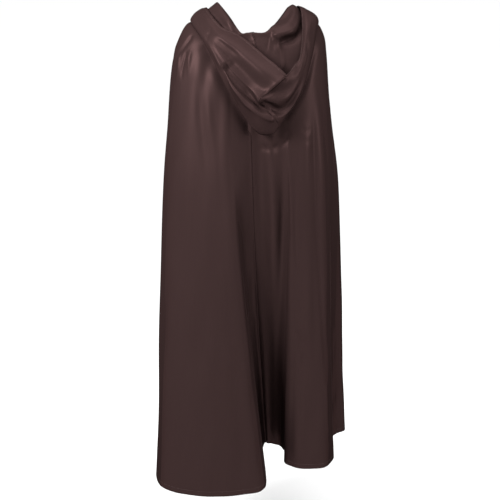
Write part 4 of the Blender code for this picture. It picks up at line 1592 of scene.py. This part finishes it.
@dataclass
class Cloak:
    """The six sewn panels of the hooded cloak."""

    left_seam: float = -4.0
    centre_back: float = 90.0
    right_seam: float = 184.0
    centre_front: float = 270.0

    def body_panels(self) -> list[Panel]:
        """The four panels of the body, in order of turn.

        Returns:
            The panels.
        """
        sewn, hemmed = EdgeFinish.SEWN, EdgeFinish.HEMMED
        return [
            BodyPanel(
                "cloak_back_left", Cut(0.75, 1.52, 0.67), 11, sewn, sewn, hemmed,
                creases=BACK_LEFT_CREASES, start=self.left_seam, end=self.centre_back,
            ),
            BodyPanel(
                "cloak_back_right", Cut(0.60, 1.48, 0.58), 12, sewn, sewn, hemmed,
                creases=BACK_RIGHT_CREASES, start=self.centre_back, end=self.right_seam,
                columns=150,
            ),
            BodyPanel(
                "cloak_front_right", Cut(0.42, 1.48, 0.47), 13, sewn, hemmed, hemmed,
                creases=FRONT_RIGHT_CREASES, start=self.right_seam, end=self.centre_front,
                columns=95,
            ),
            BodyPanel(
                "cloak_front_left", Cut(0.50, 1.52, 0.52), 14, hemmed, sewn, hemmed,
                creases=FRONT_LEFT_CREASES, start=self.centre_front, end=self.left_seam + 360,
                left_front=True, columns=105,
            ),
        ]

    def hood_panels(self) -> list[Panel]:
        """The two panels of the hood, whose hems and seams are narrower than the body's.

        Returns:
            The panels.
        """
        left = HoodForm(Side.LEFT, HOOD_LEFT, LEFT_PLACES, NECK_TURNS_LEFT)
        right = HoodForm(Side.RIGHT, HOOD_RIGHT, RIGHT_PLACES, NECK_TURNS_RIGHT)
        as_cut, sewn, hemmed = EdgeFinish.OPEN, EdgeFinish.SEWN, EdgeFinish.HEMMED
        small = {"allowance": 0.0016, "hem": 0.007, "seam_gap": 0.0003}
        small |= {"ripple": 0.0003, "ripple_down": 0.16}
        return [
            HoodPanel(
                "hood_left", Cut(0.70, 0.58, 0.130), 21, as_cut, sewn, hemmed,
                creases=HOOD_LEFT_CREASES, form=left, **small,
            ),
            HoodPanel(
                "hood_right", Cut(0.62, 0.55, 0.104), 22, as_cut, sewn, hemmed,
                creases=HOOD_RIGHT_CREASES, form=right, **small,
            ),
        ]

    def build(self) -> list[bpy.types.Object]:
        """Builds all panels.

        Returns:
            Their objects.
        """
        satin, thread = Satin().material(), Thread().material()
        panels = self.body_panels() + self.hood_panels()
        return [panel.build(satin, thread) for panel in panels]


@dataclass
class Studio:
    """Floor, lights and the camera at the photograph's angle."""

    floor_z: float = -1.80
    floor_half: float = 400.0
    camera_place: tuple[float, float, float] = (0.0, 2.50, 0.06)
    camera_tilt: float = 17.292
    lens: float = 61.34
    sun_strength: float = 3.0
    sun_height: float = 78.0
    sun_turn: float = -20.0
    sun_softness: float = 60.0
    box_place: tuple[float, float, float] = (1.55, 1.4, 0.65)
    box_aim: tuple[float, float, float] = (0.0, 0.0, -0.35)
    box_size: float = 0.9
    box_power: float = 75.0
    fill_place: tuple[float, float, float] = (-1.9, 1.1, 0.2)
    fill_power: float = 28.0
    sky: Colour = (1.0, 1.0, 1.0)
    sky_strength: float = 0.16

    def build(self) -> None:
        """Adds the floor, the sky, the lamps and the camera."""
        half, z = self.floor_half, self.floor_z
        corners = np.array([[-half, -half, z], [half, -half, z], [half, half, z], [-half, half, z]])
        floor = mesh_object("studio_floor", corners, np.array([[0, 1, 2, 3]]), PaleFloor().material())
        floor.visible_diffuse = False
        world = bpy.data.worlds.new("studio_sky")
        world.use_nodes = True
        sky = world.node_tree.nodes["Background"]
        sky.inputs["Color"].default_value = (*self.sky, 1.0)
        sky.inputs["Strength"].default_value = self.sky_strength
        bpy.context.scene.world = world
        self.add_sun()
        self.add_box("main_box", self.box_place, self.box_power)
        self.add_box("fill_box", self.fill_place, self.fill_power)
        self.add_camera()

    def add_sun(self) -> None:
        """Adds the soft top light, which also whitens the floor."""
        lamp = bpy.data.lights.new("top_light", "SUN")
        lamp.energy = self.sun_strength
        lamp.angle = np.radians(self.sun_softness)
        made = bpy.data.objects.new("top_light", lamp)
        made.rotation_euler = np.radians([self.sun_height - 90, 0.0, -self.sun_turn])
        bpy.context.scene.collection.objects.link(made)

    def add_box(self, name: str, place: tuple[float, float, float], power: float) -> None:
        """Adds a square lamp that faces the cloak.

        Args:
            name: Name of the lamp.
            place: Its middle.
            power: Its power in watts.
        """
        lamp = bpy.data.lights.new(name, "AREA")
        lamp.energy = power
        lamp.size = self.box_size
        made = bpy.data.objects.new(name, lamp)
        made.location = place
        aim = Vector(self.box_aim) - Vector(place)
        made.rotation_euler = aim.to_track_quat("-Z", "Y").to_euler()
        bpy.context.scene.collection.objects.link(made)

    def add_camera(self) -> None:
        """Adds the camera behind the cloak, looking along -Y and down by its tilt."""
        data = bpy.data.cameras.new("camera")
        data.lens = self.lens
        data.clip_end = 1000.0
        made = bpy.data.objects.new("camera", data)
        made.location = self.camera_place
        made.rotation_euler = np.radians([90 - self.camera_tilt, 0.0, 180.0])
        bpy.context.scene.collection.objects.link(made)
        bpy.context.scene.camera = made


def main() -> None:
    """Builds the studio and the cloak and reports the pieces."""
    logging.basicConfig(level=logging.INFO, format="%(name)s: %(message)s")
    bpy.context.scene.view_settings.view_transform = "Standard"
    Studio().build()
    made = Cloak().build()
    LOG.info("%d panels built", len(made))


if __name__ == "__main__":
    main()
